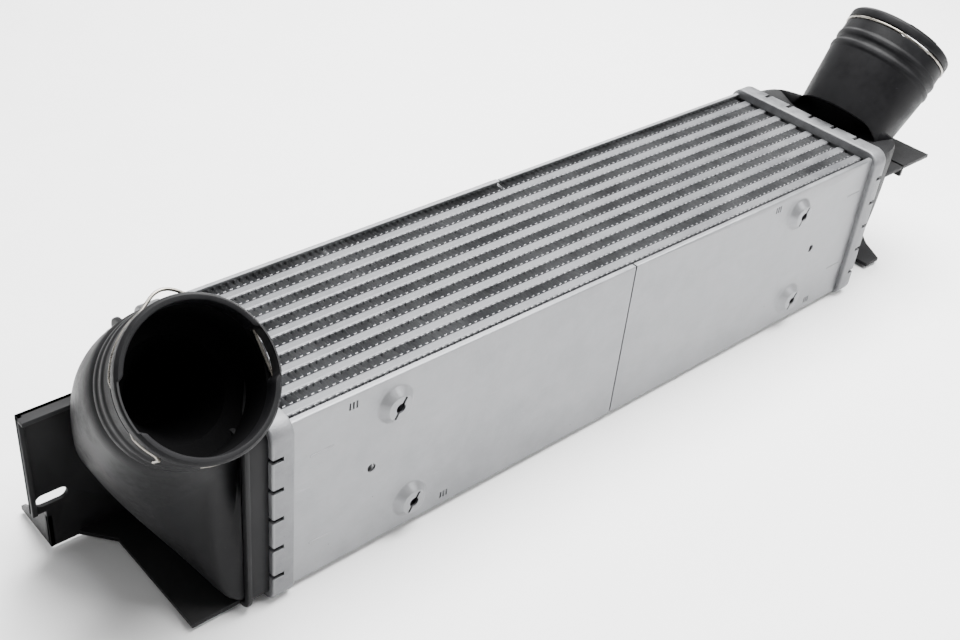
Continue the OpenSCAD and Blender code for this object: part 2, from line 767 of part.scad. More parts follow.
module outlet_clip() {
    at_outlet()
        on_neck([out_neck_x, out_neck_y, out_neck_z], out_neck_tilt, 90)
            clip(out_bore_r, false, out_window_turn);
}

inlet_tank();
outlet_tank();
at_inlet() header();  // inlet_header
at_outlet() header();  // outlet_header
at_inlet() gasket();  // inlet_gasket
at_outlet() gasket();  // outlet_gasket
front_plate_inlet();
front_plate_outlet();
rear_plate_inlet();
rear_plate_outlet();
inlet_clip();
outlet_clip();
for (i = [1:tube_count]) {
    tube(i);
    turbulator(i);
}
for (i = [1:tube_count + 1])
    fin_row(i);
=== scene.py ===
"""Charge-air intercooler: the looks of its core, plates, headers, end tanks and wire clips.

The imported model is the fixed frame. Lengths in the classes are in millimetres, as on a drawing, and
become metres where a mesh is made. Each end of the intercooler is drawn outwards from the core's end.
"""

from __future__ import annotations

import json
import logging
import math
from dataclasses import dataclass
from enum import Enum
from typing import Callable, Sequence

import bmesh
import bpy
from mathutils import Matrix, Vector

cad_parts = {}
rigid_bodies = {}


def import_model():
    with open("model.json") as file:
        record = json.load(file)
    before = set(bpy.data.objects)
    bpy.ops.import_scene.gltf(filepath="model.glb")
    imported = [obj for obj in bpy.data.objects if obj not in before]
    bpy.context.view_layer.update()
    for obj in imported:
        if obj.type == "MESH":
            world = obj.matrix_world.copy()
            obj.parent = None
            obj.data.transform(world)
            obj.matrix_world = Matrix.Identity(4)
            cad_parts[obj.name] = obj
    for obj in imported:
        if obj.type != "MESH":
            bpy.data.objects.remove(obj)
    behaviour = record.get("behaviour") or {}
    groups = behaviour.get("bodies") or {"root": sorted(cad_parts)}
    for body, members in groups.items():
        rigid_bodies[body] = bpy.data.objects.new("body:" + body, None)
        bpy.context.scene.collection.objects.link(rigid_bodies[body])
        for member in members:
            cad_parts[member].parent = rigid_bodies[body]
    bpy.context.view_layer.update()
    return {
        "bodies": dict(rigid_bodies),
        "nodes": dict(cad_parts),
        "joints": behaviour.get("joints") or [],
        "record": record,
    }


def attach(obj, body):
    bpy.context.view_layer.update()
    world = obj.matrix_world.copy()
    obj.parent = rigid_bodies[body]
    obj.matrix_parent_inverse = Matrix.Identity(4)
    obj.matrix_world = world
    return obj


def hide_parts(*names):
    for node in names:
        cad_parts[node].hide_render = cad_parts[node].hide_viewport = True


LOG = logging.getLogger("intercooler")
MM = 0.001
NEAR = 0.05
MERGE = 0.01
FLAT = math.radians(1)
SQUARE = 0.99995
TO_METRES = Matrix.Diagonal((MM, MM, MM, 1))
TO_MM = Matrix.Diagonal((1 / MM, 1 / MM, 1 / MM, 1))
Point = Sequence[float]
Pair = tuple[float, float]
Loop = list[Pair]
Socket = bpy.types.NodeSocket
Material = bpy.types.Material
Edge = bmesh.types.BMEdge


class End(Enum):
    """The two ends of the core, with the sign of their outward direction along X."""

    INLET = -1
    OUTLET = 1

    @property
    def word(self) -> str:
        """The end's name in the names of its pieces."""
        return self.name.lower()


class Slot(Enum):
    """Material slots of the record."""

    PLASTIC = "plastic"
    ALUMINIUM = "aluminium"
    FINS = "fins"
    WIRE = "wire"


@dataclass(frozen=True)
class Datum:
    """Where the core lies in the frame."""

    core_l: float = 520.0
    mid_x: float = -12.7263
    mid_y: float = 6.101
    header_w: float = 139.1
    header_h: float = 126.6

    @property
    def mid_z(self) -> float:
        """Height of the headers' middle."""
        return self.header_h / 2

    def outwards(self, end: End) -> Matrix:
        """Matrix from an end's own millimetres to the frame's metres.

        Args:
            end: The end whose pieces are placed.

        Returns:
            The matrix, a mirror for the inlet end.
        """
        place = Matrix.Translation(Vector((self.mid_x + end.value * self.core_l / 2, self.mid_y, 0)) * MM)
        return place @ Matrix.Diagonal((end.value * MM, MM, MM, 1))


DATUM = Datum()


# Meshes


class Solid:
    """Collects closed surfaces in millimetres and turns them into one piece."""

    def __init__(self) -> None:
        """Starts an empty mesh."""
        self.bm = bmesh.new()

    @classmethod
    def copy_of(cls, node: str, place: Matrix) -> Solid:
        """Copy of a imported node, with the triangles of each flat face joined.

        Args:
            node: Name of the node.
            place: Matrix from the frame's metres to the copy's millimetres.

        Returns:
            The copy.
        """
        made = cls()
        made.bm.from_mesh(bpy.data.objects[node].data)
        bmesh.ops.transform(made.bm, matrix=place, verts=made.bm.verts[:])
        bmesh.ops.remove_doubles(made.bm, verts=made.bm.verts[:], dist=MERGE)
        bmesh.ops.dissolve_limit(made.bm, angle_limit=FLAT, verts=made.bm.verts[:], edges=made.bm.edges[:])
        return made

    def ring(self, points: Sequence[Point]) -> list[bmesh.types.BMVert]:
        """Adds points and gives their vertices in the same order."""
        return [self.bm.verts.new(p) for p in points]

    def face(self, verts: Sequence[bmesh.types.BMVert], coat: int = 0) -> None:
        """Adds a smooth face that takes the piece's finish of the given number."""
        made = self.bm.faces.new(verts)
        made.smooth, made.material_index = True, coat

    def wall(self, low: list, high: list, keep: Callable[[int], bool] = lambda i: True,
             coat: int = 0) -> None:
        """Joins two rings with quads.

        Args:
            low: The first ring.
            high: The second ring, of as many points.
            keep: Says by its number whether a quad is made.
            coat: Number of its finish.
        """
        n = len(low)
        for i in range(n):
            if keep(i):
                self.face((low[i], low[(i + 1) % n], high[(i + 1) % n], high[i]), coat)

    def fan(self, ring: list, middle: Point, coat: int = 0) -> None:
        """Closes a ring by a fan of triangles.

        Args:
            ring: The ring's vertices.
            middle: Place of the fan's middle.
            coat: Number of its finish.
        """
        hub = self.bm.verts.new(middle)
        for i, vert in enumerate(ring):
            self.face((vert, ring[(i + 1) % len(ring)], hub), coat)

    def slab(self, loops: list[Loop], axis: int, start: float, end: float, soft: float = 0.4) -> None:
        """Adds a flat plate of any outline, with its edges softened.

        Args:
            loops: The outline, and the outlines of its holes, in the other two axes in order.
            axis: The axis across the plate: 0, 1 or 2.
            start: Place of one face on that axis.
            end: Place of the other face.
            soft: Width of the softened edges.
        """
        part = bmesh.new()
        for loop in loops:
            ring = [part.verts.new(on_axis(axis, start, u, v)) for u, v in loop]
            for i, vert in enumerate(ring):
                part.edges.new((vert, ring[(i + 1) % len(ring)]))
        bmesh.ops.triangle_fill(part, edges=part.edges[:], use_beauty=True)
        lid = bmesh.ops.extrude_face_region(part, geom=part.faces[:])
        moved = [g for g in lid["geom"] if isinstance(g, bmesh.types.BMVert)]
        step = [0.0, 0.0, 0.0]
        step[axis] = end - start
        bmesh.ops.translate(part, verts=moved, vec=step)
        bmesh.ops.recalc_face_normals(part, faces=part.faces[:])
        soften(part, soft)
        shade(part)
        self.take(part)

    def block(self, low: Point, high: Point, soft: float = 0.4) -> None:
        """Adds a box with softened edges.

        Args:
            low: Lowest corner.
            high: Highest corner.
            soft: Width of the softened edges.
        """
        loop = [(low[1], low[2]), (high[1], low[2]), (high[1], high[2]), (low[1], high[2])]
        self.slab([loop], 0, low[0], high[0], soft)

    def take(self, part: bmesh.types.BMesh) -> None:
        """Adds another mesh and frees it."""
        mesh = bpy.data.meshes.new("part")
        part.to_mesh(mesh)
        part.free()
        self.bm.from_mesh(mesh)
        bpy.data.meshes.remove(mesh)

    def piece(self, name: str, place: Matrix, sharp: float, *finishes: Material) -> bpy.types.Object:
        """Makes the object.

        Args:
            name: Name of the piece.
            place: Matrix from the mesh's millimetres to the frame's metres.
            sharp: Least angle in degrees of an edge that stays sharp.
            finishes: Its finishes in the order of their numbers.

        Returns:
            The object, at the origin, with its place in its mesh.
        """
        self.bm.transform(place)
        bmesh.ops.recalc_face_normals(self.bm, faces=self.bm.faces[:])
        mesh = bpy.data.meshes.new(name)
        self.bm.to_mesh(mesh)
        self.bm.free()
        return show(name, mesh, sharp, *finishes)


def on_axis(axis: int, along: float, u: float, v: float) -> tuple[float, float, float]:
    """Point from its place on one axis and on the other two in their order."""
    rest = [u, v]
    rest.insert(axis, along)
    return tuple(rest)


def show(name: str, mesh: bpy.types.Mesh, sharp: float, *finishes: Material) -> bpy.types.Object:
    """Links a mesh as an object with sharp corners.

    Args:
        name: Name of the piece.
        mesh: Its mesh, in the frame's metres.
        sharp: Least angle in degrees of an edge that stays sharp.
        finishes: Its finishes in the order of their numbers.

    Returns:
        The object.
    """
    mesh.name = name
    for finish in finishes:
        mesh.materials.append(finish)
    mesh.set_sharp_from_angle(angle=math.radians(sharp))
    piece = bpy.data.objects.new(name, mesh)
    bpy.context.scene.collection.objects.link(piece)
    return piece


def shade(bm: bmesh.types.BMesh) -> None:
    """Makes every face smooth but the flat ones that lie square to the axes."""
    for face in bm.faces:
        face.normal_update()
        face.smooth = max(abs(c) for c in face.normal) < SQUARE


def soften(bm: bmesh.types.BMesh, width: float, least: float = 25.0, segments: int = 2,
           pick: Callable[[Edge], bool] = lambda edge: True) -> None:
    """Rounds the sharp edges of a mesh.

    Args:
        bm: The mesh.
        width: Width of the rounding.
        least: Least angle in degrees of an edge that is rounded.
        segments: Steps of the rounding.
        pick: Says whether an edge takes part.
    """
    limit = math.radians(least)
    edges = [e for e in bm.edges if len(e.link_faces) == 2 and e.calc_face_angle(0) > limit and pick(e)]
    if width > 0 and edges:
        bmesh.ops.bevel(bm, geom=edges, offset=width, segments=segments, profile=0.5, affect="EDGES",
                        clamp_overlap=True)


def rounded(w: float, h: float, r: float, segments: int = 8) -> Loop:
    """Outline of a rounded rectangle round the origin.

    Args:
        w: Width.
        h: Height.
        r: Corner radius.
        segments: Steps of each corner.

    Returns:
        Its points in order.
    """
    out: Loop = []
    for quarter, (sx, sy) in enumerate(((1, 1), (-1, 1), (-1, -1), (1, -1))):
        for k in range(segments + 1):
            a = math.radians(90 * quarter + 90 * k / segments)
            out.append((sx * (w / 2 - r) + r * math.cos(a), sy * (h / 2 - r) + r * math.sin(a)))
    return out


def curved(points: Sequence[Pair], size: float) -> Loop:
    """Rounds the inner corners of an open line.

    Args:
        points: The line's corners.
        size: Distance from a corner at which its rounding starts, at most a third of a side.

    Returns:
        The line with three points in place of each inner corner.
    """
    out = [points[0]]
    for before, corner, after in zip(points, points[1:], points[2:]):
        c, ends = Vector(corner), []
        for other in (before, after):
            side = Vector(other) - c
            ends.append(c + side.normalized() * min(size, side.length / 3))
        out += [tuple(ends[0]), tuple((ends[0] + ends[1] + 2 * c) / 4), tuple(ends[1])]
    return out + [points[-1]]


def smoothstep(t: float) -> float:
    """Smooth rise from 0 to 1."""
    t = min(1.0, max(0.0, t))
    return t * t * (3 - 2 * t)


# Node trees


class Graph:
    """Short calls for building a tree of nodes."""

    def __init__(self, tree: bpy.types.NodeTree) -> None:
        """Works on the given tree: a material's, or a node group."""
        self.tree = tree

    def node(self, kind: str, inputs: dict | None = None, **values: object) -> bpy.types.Node:
        """Adds a node.

        Args:
            kind: Its type.
            inputs: Values or sockets for its inputs.
            values: Properties to set on it.

        Returns:
            The node.
        """
        made = self.tree.nodes.new(kind)
        for key, value in values.items():
            setattr(made, key, value)
        for key, value in (inputs or {}).items():
            if isinstance(value, Socket):
                self.tree.links.new(value, made.inputs[key])
            else:
                made.inputs[key].default_value = value
        return made

    def math(self, operation: str, a: object, b: object = 0.0) -> Socket:
        """Result of a Math node on two values or sockets."""
        return self.node("ShaderNodeMath", {0: a, 1: b}, operation=operation).outputs[0]

    def spread(self, value: object, low: float, high: float, to_low: float, to_high: float) -> Socket:
        """Carries a value over from one range to another, smoothly and without going past it."""
        return self.node("ShaderNodeMapRange", {0: value, 1: low, 2: high, 3: to_low, 4: to_high},
                         interpolation_type="SMOOTHSTEP").outputs[0]

    def mix(self, share: object, a: object, b: Point) -> Socket:
        """Mixes a colour, or a socket of one, with a second colour by a share."""
        first = a if isinstance(a, Socket) else (*a, 1)
        return self.node("ShaderNodeMix", {0: share, 6: first, 7: (*b, 1)}, data_type="RGBA").outputs[2]

    def noise(self, vector: object, scale: object, detail: float = 4.0, rough: float = 0.6) -> Socket:
        """Value of a noise texture.

        Args:
            vector: Its coordinates.
            scale: Its scale, in repeats a metre.
            detail: Octaves.
            rough: Share of the finer octaves.

        Returns:
            The socket of its value.
        """
        inputs = {"Vector": vector, "Scale": scale, "Detail": detail, "Roughness": rough}
        return self.node("ShaderNodeTexNoise", inputs).outputs[0]


class Tree(Graph):
    """A Geometry Nodes tree with named inputs, run once on an object and turned into a plain mesh."""

    def __init__(self, name: str, sizes: dict[str, str]) -> None:
        """Starts the tree.

        Args:
            name: Name of the tree.
            sizes: Its inputs by name, with their short socket types.
        """
        super().__init__(bpy.data.node_groups.new(name, "GeometryNodeTree"))
        for way in ("INPUT", "OUTPUT"):
            self.tree.interface.new_socket("Geometry", in_out=way, socket_type="NodeSocketGeometry")
        self.ids: dict[str, str] = {}
        for key, kind in {**sizes, "Material": "Material"}.items():
            made = self.tree.interface.new_socket(key, in_out="INPUT", socket_type="NodeSocket" + kind)
            self.ids[key] = made.identifier
        self.given = self.node("NodeGroupInput").outputs

    def close(self, geometry: Socket) -> None:
        """Ends the tree in Realize Instances and Set Material."""
        real = self.node("GeometryNodeRealizeInstances", {"Geometry": geometry}).outputs[0]
        coat = self.node("GeometryNodeSetMaterial", {"Geometry": real, "Material": self.given["Material"]})
        self.node("NodeGroupOutput", {"Geometry": coat.outputs[0]})

    def run(self, name: str, base: bpy.types.Mesh, values: dict[str, object], place: Matrix,
            sharp: float) -> bpy.types.Object:
        """Runs the tree.

        Args:
            name: Name of the piece.
            base: Mesh that the tree starts from.
            values: Value of each named input.
            place: Matrix from the tree's units to the frame's metres.
            sharp: Least angle in degrees of an edge that stays sharp.

        Returns:
            The piece, a plain mesh.
        """
        host = bpy.data.objects.new(name + "_host", base)
        bpy.context.scene.collection.objects.link(host)
        modifier = host.modifiers.new("tree", "NODES")
        modifier.node_group = self.tree
        for key, value in values.items():
            modifier[self.ids[key]] = value
        bpy.context.view_layer.update()
        graph = bpy.context.evaluated_depsgraph_get()
        mesh = bpy.data.meshes.new_from_object(host.evaluated_get(graph))
        host.modifiers.remove(modifier)
        bpy.data.objects.remove(host)
        mesh.transform(place)
        if place.determinant() < 0:
            mesh.flip_normals()
        mesh.shade_smooth()
        return show(name, mesh, sharp)


def pattern_tree() -> Tree:
    """Tree that repeats a small shape along X with a slight random lean.

    Returns:
        The tree, with inputs Unit, Count, Pitch, Lean, Seed and Material.
    """
    tree = Tree("row_of_units", {"Unit": "Object", "Count": "Int", "Pitch": "Float", "Lean": "Float",
                                 "Seed": "Int"})
    given = tree.given
    step = tree.node("ShaderNodeCombineXYZ", {"X": given["Pitch"]}).outputs[0]
    line = tree.node("GeometryNodeMeshLine", {"Count": given["Count"], "Offset": step}).outputs[0]
    low = tree.math("MULTIPLY", given["Lean"], -1)
    turn = tree.node("FunctionNodeRandomValue", {2: low, 3: given["Lean"], "Seed": given["Seed"]},
                     data_type="FLOAT").outputs[1]
    angle = tree.node("ShaderNodeCombineXYZ", {"Z": turn}).outputs[0]
    unit = tree.node("GeometryNodeObjectInfo", {"Object": given["Unit"]}).outputs["Geometry"]
    copies = tree.node("GeometryNodeInstanceOnPoints", {"Points": line, "Instance": unit, "Rotation": angle})
    tree.close(copies.outputs[0])
    return tree


def wire_tree() -> Tree:
    """Tree that turns a line of edges into a round wire, with inputs Radius, Sides and Material."""
    tree = Tree("round_wire", {"Radius": "Float", "Sides": "Int"})
    begin = tree.given["Geometry"]
    path = tree.node("GeometryNodeMeshToCurve", {"Mesh": begin}).outputs[0]
    section = tree.node("GeometryNodeCurvePrimitiveCircle",
                        {"Radius": tree.given["Radius"], "Resolution": tree.given["Sides"]}).outputs[0]
    profile = {"Curve": path, "Profile Curve": section, "Fill Caps": True}
    tree.close(tree.node("GeometryNodeCurveToMesh", profile).outputs[0])
    return tree


# Finishes


class Group(Graph):
    """A shader node group that reads Object coordinates."""

    def __init__(self, name: str, inputs: dict[str, float], outputs: Sequence[str]) -> None:
        """Starts the group.

        Args:
            name: Name of the group.
            inputs: Its float inputs with their usual values.
            outputs: Names of its float outputs.
        """
        super().__init__(bpy.data.node_groups.new(name, "ShaderNodeTree"))
        sockets = self.tree.interface
        for key, value in inputs.items():
            sockets.new_socket(key, in_out="INPUT", socket_type="NodeSocketFloat").default_value = value
        for key in outputs:
            sockets.new_socket(key, in_out="OUTPUT", socket_type="NodeSocketFloat")
        self.given = self.node("NodeGroupInput").outputs
        self.where = self.node("ShaderNodeTexCoord").outputs["Object"]

    def patches(self, scale: object, low: float, high: float) -> Socket:
        """Soft patches of noise: 0 where it is under low, and 1 where it is over high."""
        return self.spread(self.noise(self.where, scale), low, high, 0.0, 1.0)

    def stretched(self, along: float, turn: float = 0.0, lean: float = 0.0) -> Socket:
        """Coordinates turned about Y and Z and drawn out along X."""
        inputs = {"Vector": self.where, "Rotation": (lean, turn, turn), "Scale": (along, 1.0, 1.0)}
        return self.node("ShaderNodeMapping", inputs).outputs[0]


def clouds_group() -> Group:
    """Group of the cloudy patches and small specks of a handled, brazed or moulded surface.

    Returns:
        The group, with inputs Patch and Speck in repeats a metre, and outputs Cloud and Specks.
    """
    group = Group("clouds", {"Patch": 18.0, "Speck": 420.0}, ("Cloud", "Specks"))
    at, patch, speck = group.where, group.given["Patch"], group.given["Speck"]
    broad = group.noise(at, patch)
    fine = group.noise(at, group.math("MULTIPLY", patch, 7.0), 6.0, 0.7)
    both = group.math("ADD", group.math("MULTIPLY", broad, 0.65), group.math("MULTIPLY", fine, 0.35))
    cloud = group.spread(both, 0.36, 0.64, 0.0, 1.0)
    dots = group.node("ShaderNodeTexVoronoi", {"Vector": at, "Scale": speck, "Randomness": 1.0})
    near = group.spread(dots.outputs["Distance"], 0.06, 0.16, 1.0, 0.0)
    some = group.patches(group.math("MULTIPLY", speck, 0.25), 0.6, 0.72)
    group.node("NodeGroupOutput", {"Cloud": cloud, "Specks": group.math("MULTIPLY", near, some)})
    return group


def drawn_group() -> Group:
    """Group of the fine lines of rolled sheet and the stray scratches on it.

    Returns:
        The group, with inputs Lines and Scratches in repeats a metre, and outputs Lines and Scratches.
    """
    group = Group("drawn_lines", {"Lines": 900.0, "Scratches": 60.0}, ("Lines", "Scratches"))
    rolled = group.noise(group.stretched(0.012), group.given["Lines"], 3.0)
    scale, mask = group.given["Scratches"], None
    for turn, along in ((0.35, 0.03), (-0.5, 0.045), (1.3, 0.06)):
        strokes = group.noise(group.stretched(along, turn, 0.2), scale, 2.0)
        line = group.math("ABSOLUTE", group.math("SUBTRACT", strokes, 0.5))
        few = group.patches(group.math("MULTIPLY", scale, 0.5 + turn * 0.2), 0.6, 0.7)
        one = group.math("MULTIPLY", group.spread(line, 0.0, 0.006, 1.0, 0.0), few)
        mask = one if mask is None else group.math("MAXIMUM", mask, one)
    group.node("NodeGroupOutput", {"Lines": rolled, "Scratches": mask})
    return group


def dust_group() -> Group:
    """Group of a thin uneven haze on faces that look up, with inputs Patch and Reach and output Dust."""
    group = Group("dust_haze", {"Patch": 30.0, "Reach": 0.25}, ("Dust",))
    normal = group.node("ShaderNodeNewGeometry").outputs["Normal"]
    up = group.node("ShaderNodeSeparateXYZ", {0: normal}).outputs[2]
    facing = group.node("ShaderNodeMapRange", {0: up, 1: group.given["Reach"], 2: 1.0, 3: 0.0, 4: 1.0})
    uneven = group.spread(group.noise(group.where, group.given["Patch"], 5.0), 0.3, 0.75, 0.35, 1.0)
    group.node("NodeGroupOutput", {"Dust": group.math("MULTIPLY", facing.outputs[0], uneven)})
    return group


@dataclass(frozen=True)
class Finish:
    """A finish: how its base, its mottling, its grain and its haze look."""

    name: str
    dark: tuple[float, float, float]
    light: tuple[float, float, float]
    metallic: float
    rough_low: float
    rough_high: float
    patch: float = 18.0
    speck: float = 420.0
    speck_tone: float = 0.0
    lines: float = 0.0
    scratches: float = 0.0
    haze: float = 0.0
    haze_colour: tuple[float, float, float] = (0.5, 0.5, 0.5)
    grain: float = 900.0
    grain_depth: float = 0.05
    edge: float = 0.0
    specular: float = 0.5
    bump_reach: float = 0.0004

    def make(self, groups: dict[str, Group]) -> Material:
        """Builds the material.

        Args:
            groups: The shared node groups by name.

        Returns:
            The material.
        """
        material = bpy.data.materials.new(self.name)
        material.use_nodes = True
        graph = Graph(material.node_tree)
        clouds = graph.node("ShaderNodeGroup", node_tree=groups["clouds"].tree)
        clouds.inputs["Patch"].default_value = self.patch
        clouds.inputs["Speck"].default_value = self.speck
        colour = graph.mix(clouds.outputs["Cloud"], self.dark, self.light)
        rough = graph.spread(clouds.outputs["Cloud"], 0.0, 1.0, self.rough_low, self.rough_high)
        if self.speck_tone:
            colour = graph.mix(clouds.outputs["Specks"], colour, self.toned(1.0, self.speck_tone))
        height = graph.noise(graph.node("ShaderNodeTexCoord").outputs["Object"], self.grain, 3.0)
        if self.lines or self.scratches:
            lines, scratches = graph.node("ShaderNodeGroup", node_tree=groups["drawn"].tree).outputs
            rough = graph.math("ADD", rough, graph.math("MULTIPLY", lines, self.lines))
            height = graph.math("ADD", height, graph.math("MULTIPLY", lines, 0.6))
            share = graph.math("MULTIPLY", scratches, self.scratches)
            colour = graph.mix(share, colour, self.toned(1.2, 0.0))
        if self.edge:
            bent = graph.node("ShaderNodeNewGeometry").outputs["Pointiness"]
            worn = graph.math("MULTIPLY", graph.spread(bent, 0.51, 0.6, 0.0, 1.0), self.edge)
            colour = graph.mix(worn, colour, self.toned(1.0, 0.12))
        if self.haze:
            dust = graph.node("ShaderNodeGroup", node_tree=groups["dust"].tree).outputs[0]
            share = graph.math("MULTIPLY", dust, self.haze)
            colour = graph.mix(share, colour, self.haze_colour)
            rough = graph.math("ADD", rough, graph.math("MULTIPLY", share, 0.4))
        bump = graph.node("ShaderNodeBump", {"Height": height, "Strength": self.grain_depth,
                                             "Distance": self.bump_reach})
        shader = next(n for n in material.node_tree.nodes if n.type == "BSDF_PRINCIPLED")
        shader.inputs["Metallic"].default_value = self.metallic
        shader.inputs["Specular IOR Level"].default_value = self.specular
        linked = {"Base Color": colour, "Roughness": rough, "Normal": bump.outputs["Normal"]}
        for key, socket in linked.items():
            material.node_tree.links.new(socket, shader.inputs[key])
        return material

    def toned(self, factor: float, more: float) -> Point:
        """The light colour times a factor, plus a value, between 0 and 1."""
        return tuple(min(1.0, max(0.0, c * factor + more)) for c in self.light)


class Finishes:
    """Every finish of the intercooler, built once."""

    def __init__(self) -> None:
        """Builds the shared groups and the materials."""
        groups = {"clouds": clouds_group(), "drawn": drawn_group(), "dust": dust_group()}
        self.plastic = Finish(
            "moulded_plastic", (0.0024, 0.0024, 0.0029), (0.0052, 0.0052, 0.0059), 0.0, 0.4, 0.55, patch=22,
            speck=500, speck_tone=0.03, haze=0.02, grain=1400, grain_depth=0.16, edge=0.12,
            specular=0.1).make(groups)
        # A darker, duller copy of the moulded plastic for the bore and throat of each neck: painted shade
        # inside the neck.
        self.lining = Finish(
            "neck_lining", (0.0012, 0.0012, 0.0014), (0.0024, 0.0024, 0.0026), 0.0, 0.75, 0.9, patch=25,
            grain=1200, grain_depth=0.1, specular=0.05).make(groups)
        self.sheet = Finish(
            "rolled_sheet", (0.17, 0.173, 0.18), (0.24, 0.243, 0.25), 0.72, 0.34, 0.48, patch=9, speck=260,
            speck_tone=-0.2, lines=0.1, scratches=0.5, grain=700, grain_depth=0.12).make(groups)
        self.header = Finish(
            "brazed_header", (0.095, 0.097, 0.102), (0.165, 0.167, 0.173), 0.65, 0.42, 0.58, patch=26,
            speck=420, speck_tone=-0.2, grain=800, grain_depth=0.5, edge=0.35).make(groups)
        self.tube = Finish(
            "tube_sheet", (0.094, 0.096, 0.102), (0.136, 0.138, 0.144), 0.6, 0.42, 0.55, patch=14,
            speck=500, speck_tone=-0.1, lines=0.05, grain=900, grain_depth=0.2).make(groups)
        self.fin = Finish(
            "fin_sheet", (0.26, 0.263, 0.273), (0.38, 0.383, 0.393), 0.6, 0.4, 0.55, patch=30, speck=600,
            grain=1200, grain_depth=0.1).make(groups)
        self.seal = Finish(
            "rubber_seal", (0.008, 0.008, 0.008), (0.015, 0.015, 0.015), 0.0, 0.6, 0.75, patch=60,
            grain=1500, grain_depth=0.2).make(groups)
        self.wire = Finish(
            "spring_wire", (0.16, 0.148, 0.13), (0.30, 0.28, 0.25), 1.0, 0.25, 0.4, patch=120, speck=800,
            grain=2500, grain_depth=0.08).make(groups)
        self.floor = Finish(
            "pale_floor", (0.86, 0.86, 0.86), (0.89, 0.89, 0.89), 0.0, 0.7, 0.8, patch=2, grain=200,
            grain_depth=0.02).make(groups)


def mount(piece: bpy.types.Object, slot: Slot, *nodes: str) -> None:
    """Gives a piece its body and hides the nodes that it stands for.

    Args:
        piece: The piece.
        slot: Its material slot; not used.
        nodes: The CAD nodes that it replaces.
    """
    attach(piece, "root")
    if nodes:
        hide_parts(*nodes)
    LOG.info("%s: %d faces", piece.name, len(piece.data.polygons))


# Core


@dataclass
class Core:
    """Flat tubes with rows of folded fins between them."""

    tubes: int = 8
    tube_t: float = 7.2
    fin_h: float = 7.9
    depth: float = 112.0
    plate_t: float = 1.2
    fin_t: float = 0.34
    fold: float = 4.6
    end_gap: float = 3.0
    crest_share: float = 0.43
    crest_round: float = 0.5
    lean: float = 0.05
    seed: int = 11
    sharp: float = 60.0

    @property
    def front(self) -> float:
        """Place of the front plate's outer face across the core."""
        return -(self.tubes * self.tube_t + (self.tubes + 1) * self.fin_h + 2 * self.plate_t) / 2

    def unit(self) -> bpy.types.Object:
        """One fold of the fin sheet, two walls and two rounded crests.

        Returns:
            An unseen object that the pattern tree repeats.
        """
        flat = self.fold * self.crest_share
        h = self.fin_h - self.fin_t
        corners = [(0.0, 0.0), (flat, 0.0), (self.fold / 2, h), (self.fold / 2 + flat, h), (self.fold, 0.0)]
        line = curved([(x - self.fold / 2, y) for x, y in corners], self.crest_round)
        bm = bmesh.new()
        rows = []
        for z in (0.0, self.depth):
            rows.append([[bm.verts.new((x, y + t, z)) for t in (0.0, self.fin_t)] for x, y in line])
        for low, high, low_next, high_next in zip(rows[0], rows[1], rows[0][1:], rows[1][1:]):
            bm.faces.new((low[0], low_next[0], high_next[0], high[0]))
            bm.faces.new((low[1], high[1], high_next[1], low_next[1]))
            bm.faces.new((high[0], high_next[0], high_next[1], high[1]))
            bm.faces.new((low[0], low[1], low_next[1], low_next[0]))
        mesh = bpy.data.meshes.new("fold")
        bm.to_mesh(mesh)
        bm.free()
        fold = bpy.data.objects.new("fold", mesh)
        bpy.context.scene.collection.objects.link(fold)
        return fold

    def fins(self, tree: Tree, finish: Material) -> None:
        """Makes the rows of fins.

        Args:
            tree: The pattern tree.
            finish: The fins' finish.
        """
        unit = self.unit()
        length = DATUM.core_l - 2 * self.end_gap
        count = int(length / self.fold)
        for row in range(self.tubes + 1):
            y = self.front + self.plate_t + row * (self.tube_t + self.fin_h)
            x = -(count - 1) * self.fold / 2 + (row % 2) * self.fold / 4
            place = TO_METRES @ Matrix.Translation(
                (DATUM.mid_x + x, DATUM.mid_y + y, DATUM.mid_z - self.depth / 2))
            values = {"Unit": unit, "Count": count, "Pitch": self.fold, "Lean": self.lean,
                      "Seed": self.seed + row, "Material": finish}
            piece = tree.run(f"fins_{row + 1}", bpy.data.meshes.new("base"), values, place, self.sharp)
            mount(piece, Slot.FINS, f"fin_row_{row + 1}")
        bpy.data.objects.remove(unit)

    def dress(self, nodes: dict[str, bpy.types.Object], finishes: Finishes) -> None:
        """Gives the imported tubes, turbulators and gaskets their finishes.

        Args:
            nodes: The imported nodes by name.
            finishes: The finishes.
        """
        wear = {"tube_": finishes.tube, "turbulator_": finishes.fin, "inlet_gasket": finishes.seal,
                "outlet_gasket": finishes.seal}
        for name, node in nodes.items():
            for start, finish in wear.items():
                if name.startswith(start):
                    node.data.materials.clear()
                    node.data.materials.append(finish)


# Side plates


